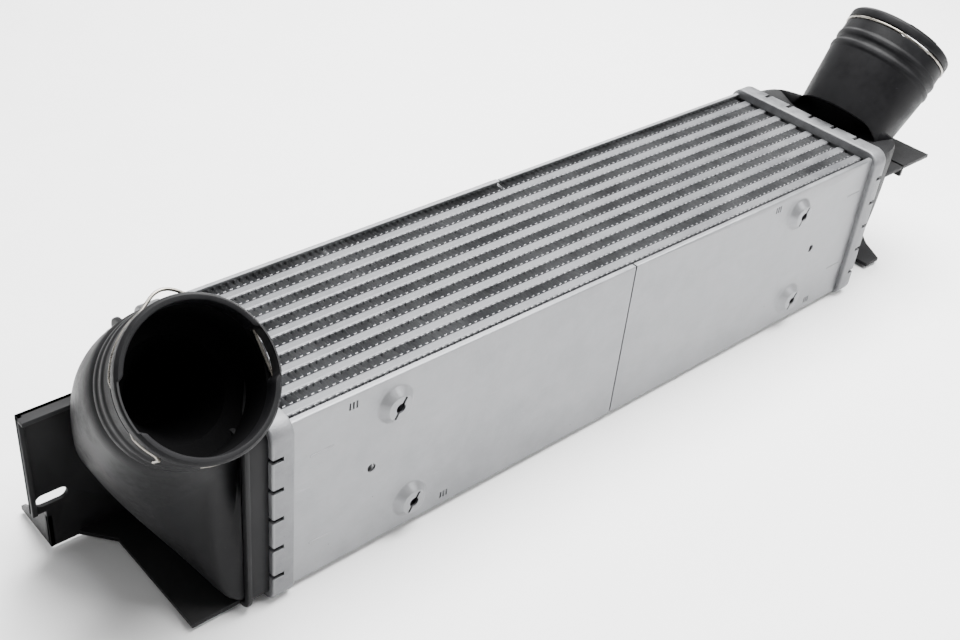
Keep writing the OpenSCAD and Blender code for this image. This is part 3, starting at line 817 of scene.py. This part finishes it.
@dataclass
class SidePlate:
    """Pressed side plate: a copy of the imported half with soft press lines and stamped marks."""

    node: str
    front: bool
    header_x: float
    out_sign: int
    up: bool
    dash_x: float
    seat_r: float = 12.5
    seat_top_r: float = 8.0
    seat_h: float = 5.0
    seats: tuple[Pair, ...] = ((68.8, 98.6), (83.9, 20.0))
    plate_h: float = 118.6
    face: float = 65.55
    dash_l: float = 15.8
    dash_w: float = 1.1
    dash_h: float = 0.45
    dashes: Pair = (25.5, 89.5)
    foot_round: float = 1.2
    top_round: float = 0.4
    bend_round: float = 1.0
    sharp: float = 30.0

    def make(self, finish: Material) -> None:
        """Makes the piece.

        Args:
            finish: The sheet's finish.
        """
        solid = Solid.copy_of(self.node, TO_MM)
        for size, steps, r, out in ((self.foot_round, 4, self.seat_r, 0.0),
                                    (self.top_round, 2, self.seat_top_r, self.seat_h)):
            soften(solid.bm, size, 20, steps, lambda edge: self.on_seat(edge, r, out))
        soften(solid.bm, self.bend_round, 60, 4, self.on_bend)
        shade(solid.bm)
        self.emboss(solid)
        mount(solid.piece("pressed_" + self.node, TO_METRES, self.sharp, finish), Slot.ALUMINIUM, self.node)

    def place(self, x: float, z: float) -> Pair:
        """Place in the frame of a point x from the header and z up the plate."""
        rise = (z - self.plate_h / 2) * (1 if self.up else -1)
        return self.header_x - self.out_sign * x, DATUM.mid_z + rise

    def emboss(self, solid: Solid) -> None:
        """Adds the short raised dashes beside the header."""
        side = -1 if self.front else 1
        low, high = sorted((side * (self.face - self.dash_h), side * (self.face + self.dash_h)))
        for z in self.dashes:
            (x0, up), (x1, _) = self.place(self.dash_x, z), self.place(self.dash_x + self.dash_l, z)
            solid.block((min(x0, x1), DATUM.mid_y + low, up - self.dash_w / 2),
                        (max(x0, x1), DATUM.mid_y + high, up + self.dash_w / 2), self.dash_h)

    def on_seat(self, edge: Edge, radius: float, out: float) -> bool:
        """Says whether an edge runs round a fixing seat.

        Args:
            edge: The edge, in the frame's millimetres.
            radius: Radius of the round that it would lie on.
            out: Height of that round over the plate.

        Returns:
            True if it does.
        """
        for cx, cz in (self.place(*seat) for seat in self.seats):
            if all(abs(math.hypot(v.co.x - cx, v.co.z - cz) - radius) < 3 * NEAR
                   and abs(self.past_face(v.co) - out) < 3 * NEAR for v in edge.verts):
                return True
        return False

    def past_face(self, point: Vector) -> float:
        """Distance of a point out from the plate's face."""
        return abs(point.y - DATUM.mid_y) - self.face

    def on_bend(self, edge: Edge) -> bool:
        """Says whether an edge runs along the bend to the plate's upper or lower lip."""
        a, b = (v.co for v in edge.verts)
        return abs(a.x - b.x) > self.bend_round and all(
            abs(self.past_face(p)) < NEAR and abs(abs(p.z - DATUM.mid_z) - self.plate_h / 2) < NEAR
            for p in (a, b))


# Headers


@dataclass
class Header:
    """Header with its crimp tabs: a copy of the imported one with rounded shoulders."""

    end: End
    depth: float = 14.0
    corner_r: float = 10.0
    tab_from: float = 6.5
    tab_least: float = 3.0
    shoulder: float = 1.3
    tab_round: float = 0.6
    sharp: float = 32.0

    def make(self, finish: Material) -> None:
        """Makes the piece.

        Args:
            finish: The header's finish.
        """
        node = self.end.word + "_header"
        solid = Solid.copy_of(node, DATUM.outwards(self.end).inverted())
        soften(solid.bm, self.shoulder, 30, 3, self.on_shoulder)
        soften(solid.bm, self.tab_round, 50, 2, self.on_tab)
        shade(solid.bm)
        piece = solid.piece("crimped_" + node, DATUM.outwards(self.end), self.sharp, finish)
        mount(piece, Slot.ALUMINIUM, node)

    def on_outline(self, edge: Edge) -> bool:
        """Says whether an edge lies on the header's outer outline."""
        for vert in edge.verts:
            y = abs(vert.co.y) - DATUM.header_w / 2
            z = abs(vert.co.z - DATUM.mid_z) - DATUM.header_h / 2
            r = self.corner_r
            at_corner = min(y, z) > -r and math.hypot(y + r, z + r) > r - 4 * NEAR
            if max(y, z) <= -2 * NEAR and not at_corner:
                return False
        return True

    def on_shoulder(self, edge: Edge) -> bool:
        """Says whether an edge runs round the outline at the core side or at the tabs' fold."""
        flat = any(all(abs(v.co.x - x) < NEAR for v in edge.verts) for x in (0, self.depth))
        return flat and self.on_outline(edge)

    def on_tab(self, edge: Edge) -> bool:
        """Says whether an edge runs down the side of a tab."""
        a, b = (v.co.x for v in edge.verts)
        return min(a, b) > self.tab_from and abs(a - b) > self.tab_least and self.on_outline(edge)


# End tanks


@dataclass
class Neck:
    """Hose neck of a tank: its place, its profile and the windows for the wire."""

    centre: tuple[float, float, float]
    tilt: float
    turn: float
    bore: float
    trunk_l: float
    trunk_r: float
    window_turn: float
    wall: float = 4.4
    rim_w: float = 8.0
    length: float = 36.0
    ring_one: float = 22.0
    ring_two: float = 31.0
    ring_w: float = 3.0
    window_w: float = 28.0
    wire_d: float = 1.8
    wire_fit: float = 0.2
    tank_wall: float = 3.0
    step: float = 1.5
    throat: float = 45.0
    pocket: float = 2.4
    pocket_fade: float = 5.0
    shrink: float = 0.9962
    groove_slope: float = 0.8
    rim_round: float = 0.7
    ring_round: float = 0.9
    lip: tuple[Pair, ...] = ((1.2, 0.0), (0.4, 0.25), (0.0, 1.0))
    # Width of the first ring of the bore's painted shade, just past the wire's groove.
    lining_edge: float = 0.4
    bottom: float = 2.0
    funnel: tuple[Pair, ...] = ((0.74, 14), (0.62, 4), (0.5, 2))
    ducted: bool = False

    @property
    def rim_r(self) -> float:
        """Radius of the rim."""
        return self.bore + self.wall

    @property
    def groove_end(self) -> float:
        """Distance from the rim to the far side of the wire's groove."""
        return self.rim_w + self.wire_d + 2 * self.wire_fit

    @property
    def axis(self) -> Vector:
        """Direction of the neck, out of the tank."""
        tilt, turn = math.radians(self.tilt), math.radians(self.turn)
        return Vector((math.sin(tilt) * math.sin(turn), -math.sin(tilt) * math.cos(turn), math.cos(tilt)))

    @property
    def base(self) -> Vector:
        """Middle of the ring where the tank's skin meets the trunk."""
        return Vector(self.centre) - self.axis * (self.length + self.trunk_l)

    def inwards(self) -> Matrix:
        """Matrix from the neck's own axes, with Z into the tank, to the end's."""
        return (Matrix.Translation(self.centre) @ Matrix.Rotation(math.radians(self.turn), 4, "Z")
                @ Matrix.Rotation(math.radians(self.tilt), 4, "X") @ Matrix.Diagonal((1, 1, -1, 1)))

    def on_ring(self, a: float, centre: Vector, radius: float) -> Vector:
        """Point on a ring of the neck.

        Args:
            a: Turn in radians, as on the foot's outline.
            centre: The ring's middle.
            radius: The ring's radius.

        Returns:
            The point.
        """
        out = Vector((1, 0, 0))
        w = out.cross(self.axis).normalized()
        p, q, f = w.cross(out), w.cross(self.axis), Vector((0, math.cos(a), math.sin(a)))
        return centre + radius * (f.dot(w) * w + f.dot(p) * q)

    def outside(self) -> Loop:
        """Outer profile from the trunk to the rim.

        Returns:
            Pairs of radius and distance from the rim.
        """
        rim, land = self.rim_r * self.shrink, (self.rim_r - self.wire_d / 2) * self.shrink
        groove = self.rim_r - self.wire_d - self.wire_fit
        half = self.ring_w / 2
        down = [(rim - self.rim_w / 5, 0), (rim, self.rim_w / 5), (rim, self.rim_w - self.groove_slope),
                (groove, self.rim_w)]
        up = [(groove, self.groove_end), (land, self.groove_end)]
        for z in (self.ring_one, self.ring_two):
            up += [(land, z - self.ring_w), (rim, z - half), (rim, z + half), (land, z + self.ring_w)]
        up.append((self.trunk_r, self.length + self.trunk_l))
        return curved(up, self.ring_round)[::-1] + curved(down, self.rim_round)[::-1]

    def inside(self) -> Loop:
        """Inner profile from the rim to the end of the throat, as pairs of radius and depth."""
        inner, foot = self.trunk_r - self.tank_wall - self.step, self.length + self.trunk_l
        mouth = [(self.bore + more, z) for more, z in self.lip]
        # Extra ring just past the groove, where the painted shade in the bore starts.
        painted_shade_ring = self.groove_end + self.lining_edge
        straight = [(self.bore, z) for z in (self.rim_w, self.groove_end, painted_shade_ring, self.length)]
        narrows = [(inner * share, foot + self.throat / part) for share, part in self.funnel]
        return mouth + straight + [(inner, foot)] + narrows + [(self.bore / 3, foot + self.throat)]

    def cleared(self, point: Vector) -> Vector:
        """The point of the skin, moved out to the wall round the throat where the throat comes closer."""
        depth = (self.base - point).dot(self.axis)
        if not self.ducted or depth <= 0 or depth > self.throat:
            return point
        middle = self.base - self.axis * depth
        start, end = self.trunk_r - self.step, self.bore / 2 + self.tank_wall
        least = start + (end - start) * depth / self.throat
        out = point - middle
        return point if out.length >= least else middle + out.normalized() * least

    def window(self, point: Vector) -> float:
        """Angle in degrees of a point past the edge of the nearest window, negative inside it."""
        local = self.inwards().inverted() @ point
        turn = math.degrees(math.atan2(local.y, local.x)) - self.window_turn
        off = abs((turn + 90) % 180 - 90)
        return off - math.degrees(math.asin(self.window_w / 2 / self.rim_r))


@dataclass
class Tank:
    """Moulded end tank: foot, collar, skin and neck, with its brackets."""

    end: End
    collar_x: float
    neck: Neck
    share: float
    swell: tuple[float, float, float]
    bracket: Callable[["Tank", Solid], None]
    near_swell: float = 10.0
    clear_rise: float = 15.0
    foot: tuple[float, float, float] = (135.3, 122.8, 8.1)
    skin: tuple[float, float, float] = (130.3, 117.8, 5.6)
    foot_x: float = 5.5
    foot_t: float = 7.0
    step: float = 1.5
    over: float = 1.5
    rib_t: float = 3.0
    rib_h: float = 2.5
    foot_round: float = 0.6
    collar_round: float = 1.0
    rib_round: float = 0.7
    sharp: float = 38.0
    turns: int = 160
    steps: int = 26

    @property
    def start_x(self) -> float:
        """Place of the skin's first ring, inside the collar."""
        return self.collar_x - 3 * self.over

    @property
    def angles(self) -> list[float]:
        """Turns in radians of the points of every ring."""
        return [2 * math.pi * (i + 0.5) / self.turns for i in range(self.turns)]

    def on_foot(self, a: float, w: float, h: float, r: float) -> Pair:
        """Point on a rounded rectangle by its turn.

        Args:
            a: Turn in radians from the +Y side.
            w: Width.
            h: Height.
            r: Corner radius.

        Returns:
            The point across the core and up.
        """
        c, s = math.cos(a), math.sin(a)
        k = max(abs(c) / (w / 2), abs(s) / (h / 2))
        p = Vector((c / k, s / k))
        if abs(p.x) < w / 2 - r or abs(p.y) < h / 2 - r:
            return p.x, p.y
        corner = Vector((math.copysign(w / 2 - r, c), math.copysign(h / 2 - r, s)))
        p = corner + (p - corner).normalized() * r
        return p.x, p.y

    def skin_rows(self) -> list[list[Vector]]:
        """Rings of the skin from the collar to the neck.

        Returns:
            The rings.
        """
        neck, x0 = self.neck, self.start_x
        w, h, r = self.skin[0] - 2 * self.step, self.skin[1] - 2 * self.step, self.skin[2] - self.step / 2
        lines = []
        for a in self.angles:
            y, z = self.on_foot(a, w, h, r)
            start, end = Vector((x0, y, DATUM.mid_z + z)), neck.on_ring(a, neck.base, neck.trunk_r)
            rise = max(0.0, (end - start).dot(neck.axis))
            ease = 1 - self.swell[2] * max(0.0, 1 - end.x / neck.base.x)
            up = math.sin(a)
            swell = (self.swell[0] * (1 + up) + self.swell[1] * (1 - up)) / 2
            bulge = (swell - self.near_swell * math.cos(a)) * ease
            lead = Vector((neck.axis.x, neck.axis.y * (3 + 2 * math.cos(a)) / 5, neck.axis.z))
            last = end - lead * rise * self.share
            last.x += self.swell[2] * max(0.0, x0 - last.x) * min(1.0, rise / self.clear_rise)
            lines.append((start, start + Vector((bulge, 0, 0)), last, end))
        rows = []
        for k in range(self.steps + 1):
            t = k / self.steps
            u = 1 - t
            row = [a * u**3 + b * 3 * t * u * u + c * 3 * t * t * u + d * t**3 for a, b, c, d in lines]
            rows.append([neck.cleared(point) for point in row])
        return rows

    def neck_ring(self, radius: float, depth: float, pocket: bool) -> list[Vector]:
        """A ring of the neck, widened at the wire's windows where it is told so.

        Args:
            radius: Its radius.
            depth: Its distance from the rim.
            pocket: Whether it is widened at the windows.

        Returns:
            Its points.
        """
        neck = self.neck
        centre = Vector(neck.centre) - neck.axis * depth
        out = []
        for a in self.angles:
            r = radius
            if pocket:
                past = neck.window(neck.on_ring(a, centre, radius))
                r += neck.pocket * smoothstep(0.5 - past / neck.pocket_fade)
            out.append(neck.on_ring(a, centre, r))
        return out

    def body(self, solid: Solid) -> None:
        """Adds the skin and the neck as one closed surface."""
        neck = self.neck
        rows = [solid.ring(row) for row in self.skin_rows()]
        solid.fan(rows[0], (self.start_x, 0, DATUM.mid_z))
        outer = neck.outside()[1:]
        cut = [i for i, (_, z) in enumerate(outer) if abs(z - neck.groove_end) < MERGE][-1]
        rows += [solid.ring(self.neck_ring(r, z, False)) for r, z in outer]
        inner = neck.inside()
        inner_rows = [solid.ring(self.neck_ring(r, z, z <= neck.groove_end)) for r, z in inner]
        groove = len(rows) - len(outer) + cut
        slot = len(neck.lip)

        def closed(i: int) -> bool:
            """Says whether a quad of the groove lies beside both windows."""
            mid = (rows[groove][i].co + rows[groove][(i + 1) % self.turns].co) / 2
            return neck.window(mid) > 0

        for k, (low, high) in enumerate(zip(rows, rows[1:])):
            solid.wall(low, high, closed if k == groove else (lambda i: True))
        solid.wall(rows[-1], inner_rows[0])
        # Past the wire's groove, the bore and the throat take finish 1, which is painted shade.
        for k, (low, high) in enumerate(zip(inner_rows, inner_rows[1:])):
            solid.wall(low, high, closed if k == slot else (lambda i: True), int(k > slot))
        for i in range(self.turns):
            if closed(i):
                continue
            j = (i + 1) % self.turns
            frame = (rows[groove], rows[groove + 1], inner_rows[slot], inner_rows[slot + 1])
            for outer_row, inner_row in (frame[1:3], frame[::3]):
                solid.face((outer_row[i], outer_row[j], inner_row[j], inner_row[i]))
            for side, beyond in ((i, (i - 1) % self.turns), (j, j)):
                if closed(beyond):
                    solid.face([row[side] for row in frame])
        deep = neck.length + neck.trunk_l + neck.throat + neck.bottom
        # The throat's closed end also takes finish 1: painted shade where the neck opens into the tank.
        solid.fan(inner_rows[-1], Vector(neck.centre) - neck.axis * deep, 1)

    def prism(self, solid: Solid, outline: Point, start: float, end: float, soft: float) -> None:
        """Adds a straight length of a rounded rectangle round the tank's hollow.

        Args:
            solid: The tank's mesh.
            outline: Its width, height and corner radius.
            start: Where it starts.
            end: Where it ends.
            soft: Width of its softened edges.
        """
        wall = self.neck.tank_wall
        hollow = (self.skin[0] - 2 * wall, self.skin[1] - 2 * wall, self.skin[2] - wall / 2)
        loops = [[(y, z + DATUM.mid_z) for y, z in rounded(*size)] for size in (outline, hollow)]
        solid.slab(loops, 0, start, end, soft)

    def make(self, finish: Material, lining: Material) -> None:
        """Makes the piece.

        Args:
            finish: The plastic.
            lining: The same plastic, darker and duller, as painted shade inside the neck's bore and throat.
        """
        solid = Solid()
        self.body(solid)
        self.prism(solid, self.foot, self.foot_x, self.foot_x + self.foot_t, self.foot_round)
        self.prism(solid, self.skin, self.foot_x, self.collar_x, self.collar_round)
        self.bracket(self, solid)
        place = DATUM.outwards(self.end)
        piece = solid.piece(self.end.word + "_end_tank", place, self.sharp, finish, lining)
        mount(piece, Slot.PLASTIC, self.end.word + "_tank")


def stadium(x0: float, x1: float, z: float, width: float, steps: int = 8) -> Loop:
    """Outline of a slot with round ends.

    Args:
        x0: Where it starts.
        x1: Where it ends.
        z: Its height.
        width: Its width.
        steps: Steps of each round end.

    Returns:
        The points in order.
    """
    r, out = width / 2, []
    for x, begin in ((x1 - r, -90), (x0 + r, 90)):
        for k in range(steps + 1):
            a = math.radians(begin + 180 * k / steps)
            out.append((x + r * math.cos(a), z + r * math.sin(a)))
    return out


@dataclass
class InletBracket:
    """Bracket moulded to the inlet tank: panel with a slot, flanges, wing and foot plate."""

    reach: float = 99.0
    place: float = 42.5
    height: float = 100.0
    flange: float = 9.0
    slot_l: float = 19.0
    slot_w: float = 8.0
    slot_z: float = 39.0
    wing_d: float = 35.0
    wing_h: float = 24.0
    foot_reach: float = 59.0
    lift: float = 2.4

    def __call__(self, tank: Tank, solid: Solid) -> None:
        """Adds the bracket.

        Args:
            tank: The tank that carries it.
            solid: The tank's mesh.
        """
        t, y, top = tank.rib_t, self.place, self.lift + self.height
        root, inset = tank.collar_x - t, self.reach / 12
        w, h, r = tank.skin
        ribbed = (w + 2 * tank.rib_h, h + 2 * tank.rib_h, r + tank.rib_h)
        tank.prism(solid, ribbed, root, root + t, tank.rib_round)
        notch = self.slot_z - self.slot_w - t + self.lift
        panel = [(root, self.lift), (self.reach - inset, self.lift), (self.reach - inset, notch),
                 (self.reach, notch), (self.reach, top), (root, top)]
        slot = stadium(self.reach - t - self.slot_l, self.reach - t, self.slot_z, self.slot_w)
        solid.slab([panel, slot], 1, y - t, y)
        solid.block((root, y - self.flange, top - t), (self.reach, y, top))
        solid.block((self.reach - t, y - self.flange / 2, self.slot_z - self.slot_w), (self.reach, y, top))
        wing = [(y - t, self.lift), (y + self.wing_d, self.lift), (y + self.wing_d, self.lift + t),
                (y, self.lift + self.wing_h), (y - t, self.lift + self.wing_h)]
        solid.slab([wing], 0, self.reach - inset - t, self.reach - inset)
        near, far = 2 * t - w / 2, self.foot_reach * 5 / 4
        foot = [(root, near), (self.foot_reach, near), (self.foot_reach, y / 2), (far, y - t), (far, y),
                (root, y)]
        solid.slab([foot], 2, self.lift, self.lift + t)


@dataclass
class OutletBracket:
    """Shelf, hook and lug moulded to the outlet tank."""

    shelf_reach: float = 95.0
    shelf_z: float = 95.0
    lug_reach: float = 94.0
    lift: float = 2.4

    def __call__(self, tank: Tank, solid: Solid) -> None:
        """Adds the bracket.

        Args:
            tank: The tank that carries it.
            solid: The tank's mesh.
        """
        t, root, front = tank.rib_t, tank.collar_x, -tank.skin[0] / 2
        high = self.shelf_z
        solid.block((root, front + t, high), (self.shelf_reach, front + t + tank.skin[0] / 3, high + t))
        hook = self.shelf_reach * 3 / 5
        solid.block((hook, front + t, high - 2 * t), (hook + t, front + 5 * t, high + t))
        reach = self.lug_reach
        lug = [(root, front * 2 / 3), (reach * 3 / 5, front * 3 / 4), (reach * 3 / 5, front * 9 / 10),
               (reach * 7 / 9, front * 9 / 10), (reach * 9 / 10, front * 3 / 5), (reach, front * 4 / 9),
               (reach, front / 3), (root, front / 3)]
        solid.slab([lug], 2, self.lift, self.lift + t)
        web = [(root, self.lift), (reach - root, self.lift), (reach - root, self.lift + t),
               (root, self.lift + tank.skin[1] / 3)]
        solid.slab([web], 1, front / 2 - t, front / 2)


# Wire clips


@dataclass
class Clip:
    """Spring wire clip: round its neck, straight across the windows, with a bent tail."""

    end: End
    neck: Neck
    bow: float
    bow_turn: float = 92.0
    bow_half: float = 22.0
    tail_turn: float = -42.0
    gap_turn: float = 290.0
    tail_l: float = 8.0
    tail_lead: float = 4.0
    stride: float = 2.0
    sides: int = 14
    sharp: float = 50.0

    def path(self) -> list[Point]:
        """Points of the wire's middle, in the neck's own axes before the windows' turn.

        Returns:
            The points from the tail to the free end.
        """
        neck = self.neck
        r = neck.rim_r - neck.wire_d / 2
        z = neck.rim_w + neck.wire_fit + neck.wire_d / 2
        half = math.degrees(math.asin(neck.window_w / 2 / r))

        def at(a: float, radius: float) -> Point:
            """Point at a turn in degrees."""
            return radius * math.cos(math.radians(a)), radius * math.sin(math.radians(a)), z

        def span(a: float, b: float) -> list[float]:
            """Even turns from a to b."""
            n = max(1, round(abs(b - a) / self.stride))
            return [a + (b - a) * k / n for k in range(n + 1)]

        def lifted(a: float) -> float:
            """Radius with the bow."""
            k = (a - self.bow_turn) / self.bow_half
            return r + (self.bow * math.cos(math.pi / 2 * k) ** 2 if abs(k) < 1 else 0)

        out = r + neck.wire_d / 2 + neck.wire_fit
        x, y, _ = at(self.tail_turn, out)
        tail = [(x, y, z + d) for d in (self.tail_l, neck.wire_d, neck.wire_d / 3)]
        lead = [at(a, r) for a in span(self.tail_turn + self.tail_lead, -half)]
        one = [at(a, lifted(a)) for a in span(half, 180 - half)]
        two = [at(a, r) for a in span(180 + half, self.gap_turn)]
        return tail + lead + one + two

    def make(self, tree: Tree, finish: Material) -> None:
        """Makes the piece.

        Args:
            tree: The wire tree.
            finish: The wire's finish.
        """
        points = self.path()
        base = bpy.data.meshes.new("line")
        base.from_pydata(points, [(i, i + 1) for i in range(len(points) - 1)], [])
        turn = Matrix.Rotation(math.radians(self.neck.window_turn), 4, "Z")
        place = DATUM.outwards(self.end) @ self.neck.inwards() @ turn
        values = {"Radius": self.neck.wire_d / 2, "Sides": self.sides, "Material": finish}
        piece = tree.run(self.end.word + "_wire_clip", base, values, place, self.sharp)
        mount(piece, Slot.WIRE, self.end.word + "_clip")


# Studio


@dataclass(frozen=True)
class Lamp:
    """Soft area light: its place, the point that it looks at, its size in metres and its watts."""

    name: str
    place: Point
    aim: Point
    size: Pair
    power: float

    def hang(self) -> None:
        """Adds the light to the scene."""
        data = bpy.data.lights.new(self.name, "AREA")
        data.shape, data.energy = "RECTANGLE", self.power
        data.size, data.size_y = self.size
        lamp = bpy.data.objects.new(self.name, data)
        lamp.location = self.place
        lamp.rotation_euler = (Vector(self.aim) - Vector(self.place)).to_track_quat("-Z", "Y").to_euler()
        bpy.context.scene.collection.objects.link(lamp)


@dataclass(frozen=True)
class Studio:
    """Floor, lights and camera."""

    eye: Point = (-0.556420, -0.468834, 0.546647)
    right: Point = (0.7463282, -0.65966862, 0.08849586)
    down: Point = (-0.33059895, -0.48281588, -0.81092118)
    lens: float = 47.66
    sensor: float = 36.0
    clip: Pair = (0.01, 50.0)
    floor_r: float = 9.0
    floor_z: float = -0.0005
    floor_sides: int = 64
    glow: float = 0.5
    lamps: tuple[Lamp, ...] = (
        Lamp("overhead", (0.35, 0.1, 1.7), (0, 0, 0.05), (1.6, 1.2), 170),
        Lamp("front_right", (0.9, -1.3, 1.2), (0.05, 0, 0.08), (0.5, 0.5), 16),
        Lamp("back_right", (1.2, 1.4, 1.0), (0.1, 0, 0.1), (1.0, 0.8), 25))

    def camera(self) -> None:
        """Sets the camera where the photograph was taken from."""
        data = bpy.data.cameras.new("camera")
        data.lens, data.sensor_width = self.lens, self.sensor
        data.clip_start, data.clip_end = self.clip
        camera = bpy.data.objects.new("camera", data)
        right, up = Vector(self.right), -Vector(self.down)
        turn = Matrix((right, up, right.cross(up))).transposed().to_4x4()
        camera.matrix_world = Matrix.Translation(self.eye) @ turn
        bpy.context.scene.collection.objects.link(camera)
        bpy.context.scene.camera = camera

    def floor(self, finish: Material) -> None:
        """Adds the floor."""
        solid = Solid()
        turns = [2 * math.pi * k / self.floor_sides for k in range(self.floor_sides)]
        rim = [(self.floor_r * math.cos(a), self.floor_r * math.sin(a), self.floor_z) for a in turns]
        solid.fan(solid.ring(rim), (0, 0, self.floor_z))
        solid.piece("floor", Matrix.Identity(4), 30, finish)

    def build(self, finish: Material) -> None:
        """Sets up floor, lights, surroundings and camera.

        Args:
            finish: The floor's finish.
        """
        self.floor(finish)
        world = bpy.data.worlds.new("studio")
        world.use_nodes = True
        sky = world.node_tree.nodes["Background"].inputs
        sky["Color"].default_value, sky["Strength"].default_value = (1.0, 1.0, 1.0, 1), self.glow
        bpy.context.scene.world = world
        for lamp in self.lamps:
            lamp.hang()
        self.camera()


INLET_NECK = Neck(centre=(47.3, -62.0, 171.4), tilt=48, turn=0, bore=37.0, trunk_l=0.6, trunk_r=42.0,
                  window_turn=0, ducted=True)
OUTLET_NECK = Neck(centre=(92.0, -11.4, 178.5), tilt=41, turn=90, bore=38.6, trunk_l=42.0, trunk_r=38.0,
                   window_turn=-45)
TANKS = (Tank(End.INLET, collar_x=29.0, neck=INLET_NECK, share=0.65, swell=(20.0, 25.0, 1.0),
              bracket=InletBracket()),
         Tank(End.OUTLET, collar_x=18.0, neck=OUTLET_NECK, share=0.4, swell=(64.0, 0.0, 0.0),
              bracket=OutletBracket()))
CLIPS = (Clip(End.INLET, INLET_NECK, bow=5.0), Clip(End.OUTLET, OUTLET_NECK, bow=0.0))
DASH_X = {End.INLET: 12.0, End.OUTLET: 6.0}


def main() -> None:
    """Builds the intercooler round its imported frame."""
    logging.basicConfig(level=logging.INFO, format="%(name)s %(message)s")
    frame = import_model()
    finishes = Finishes()

    core = Core()
    core.fins(pattern_tree(), finishes.fin)
    core.dress(frame["nodes"], finishes)

    for side in ("front", "rear"):
        for end in End:
            SidePlate(node=f"{side}_plate_{end.word}", front=side == "front",
                      header_x=DATUM.mid_x + end.value * DATUM.core_l / 2, out_sign=end.value,
                      up=(side == "front") == (end is End.INLET), dash_x=DASH_X[end]).make(finishes.sheet)
    for end in End:
        Header(end).make(finishes.header)
    for tank in TANKS:
        tank.make(finishes.plastic, finishes.lining)
    wire = wire_tree()
    for clip in CLIPS:
        clip.make(wire, finishes.wire)

    Studio().build(finishes.floor)
    bpy.context.view_layer.update()


if __name__ == "__main__":
    main()
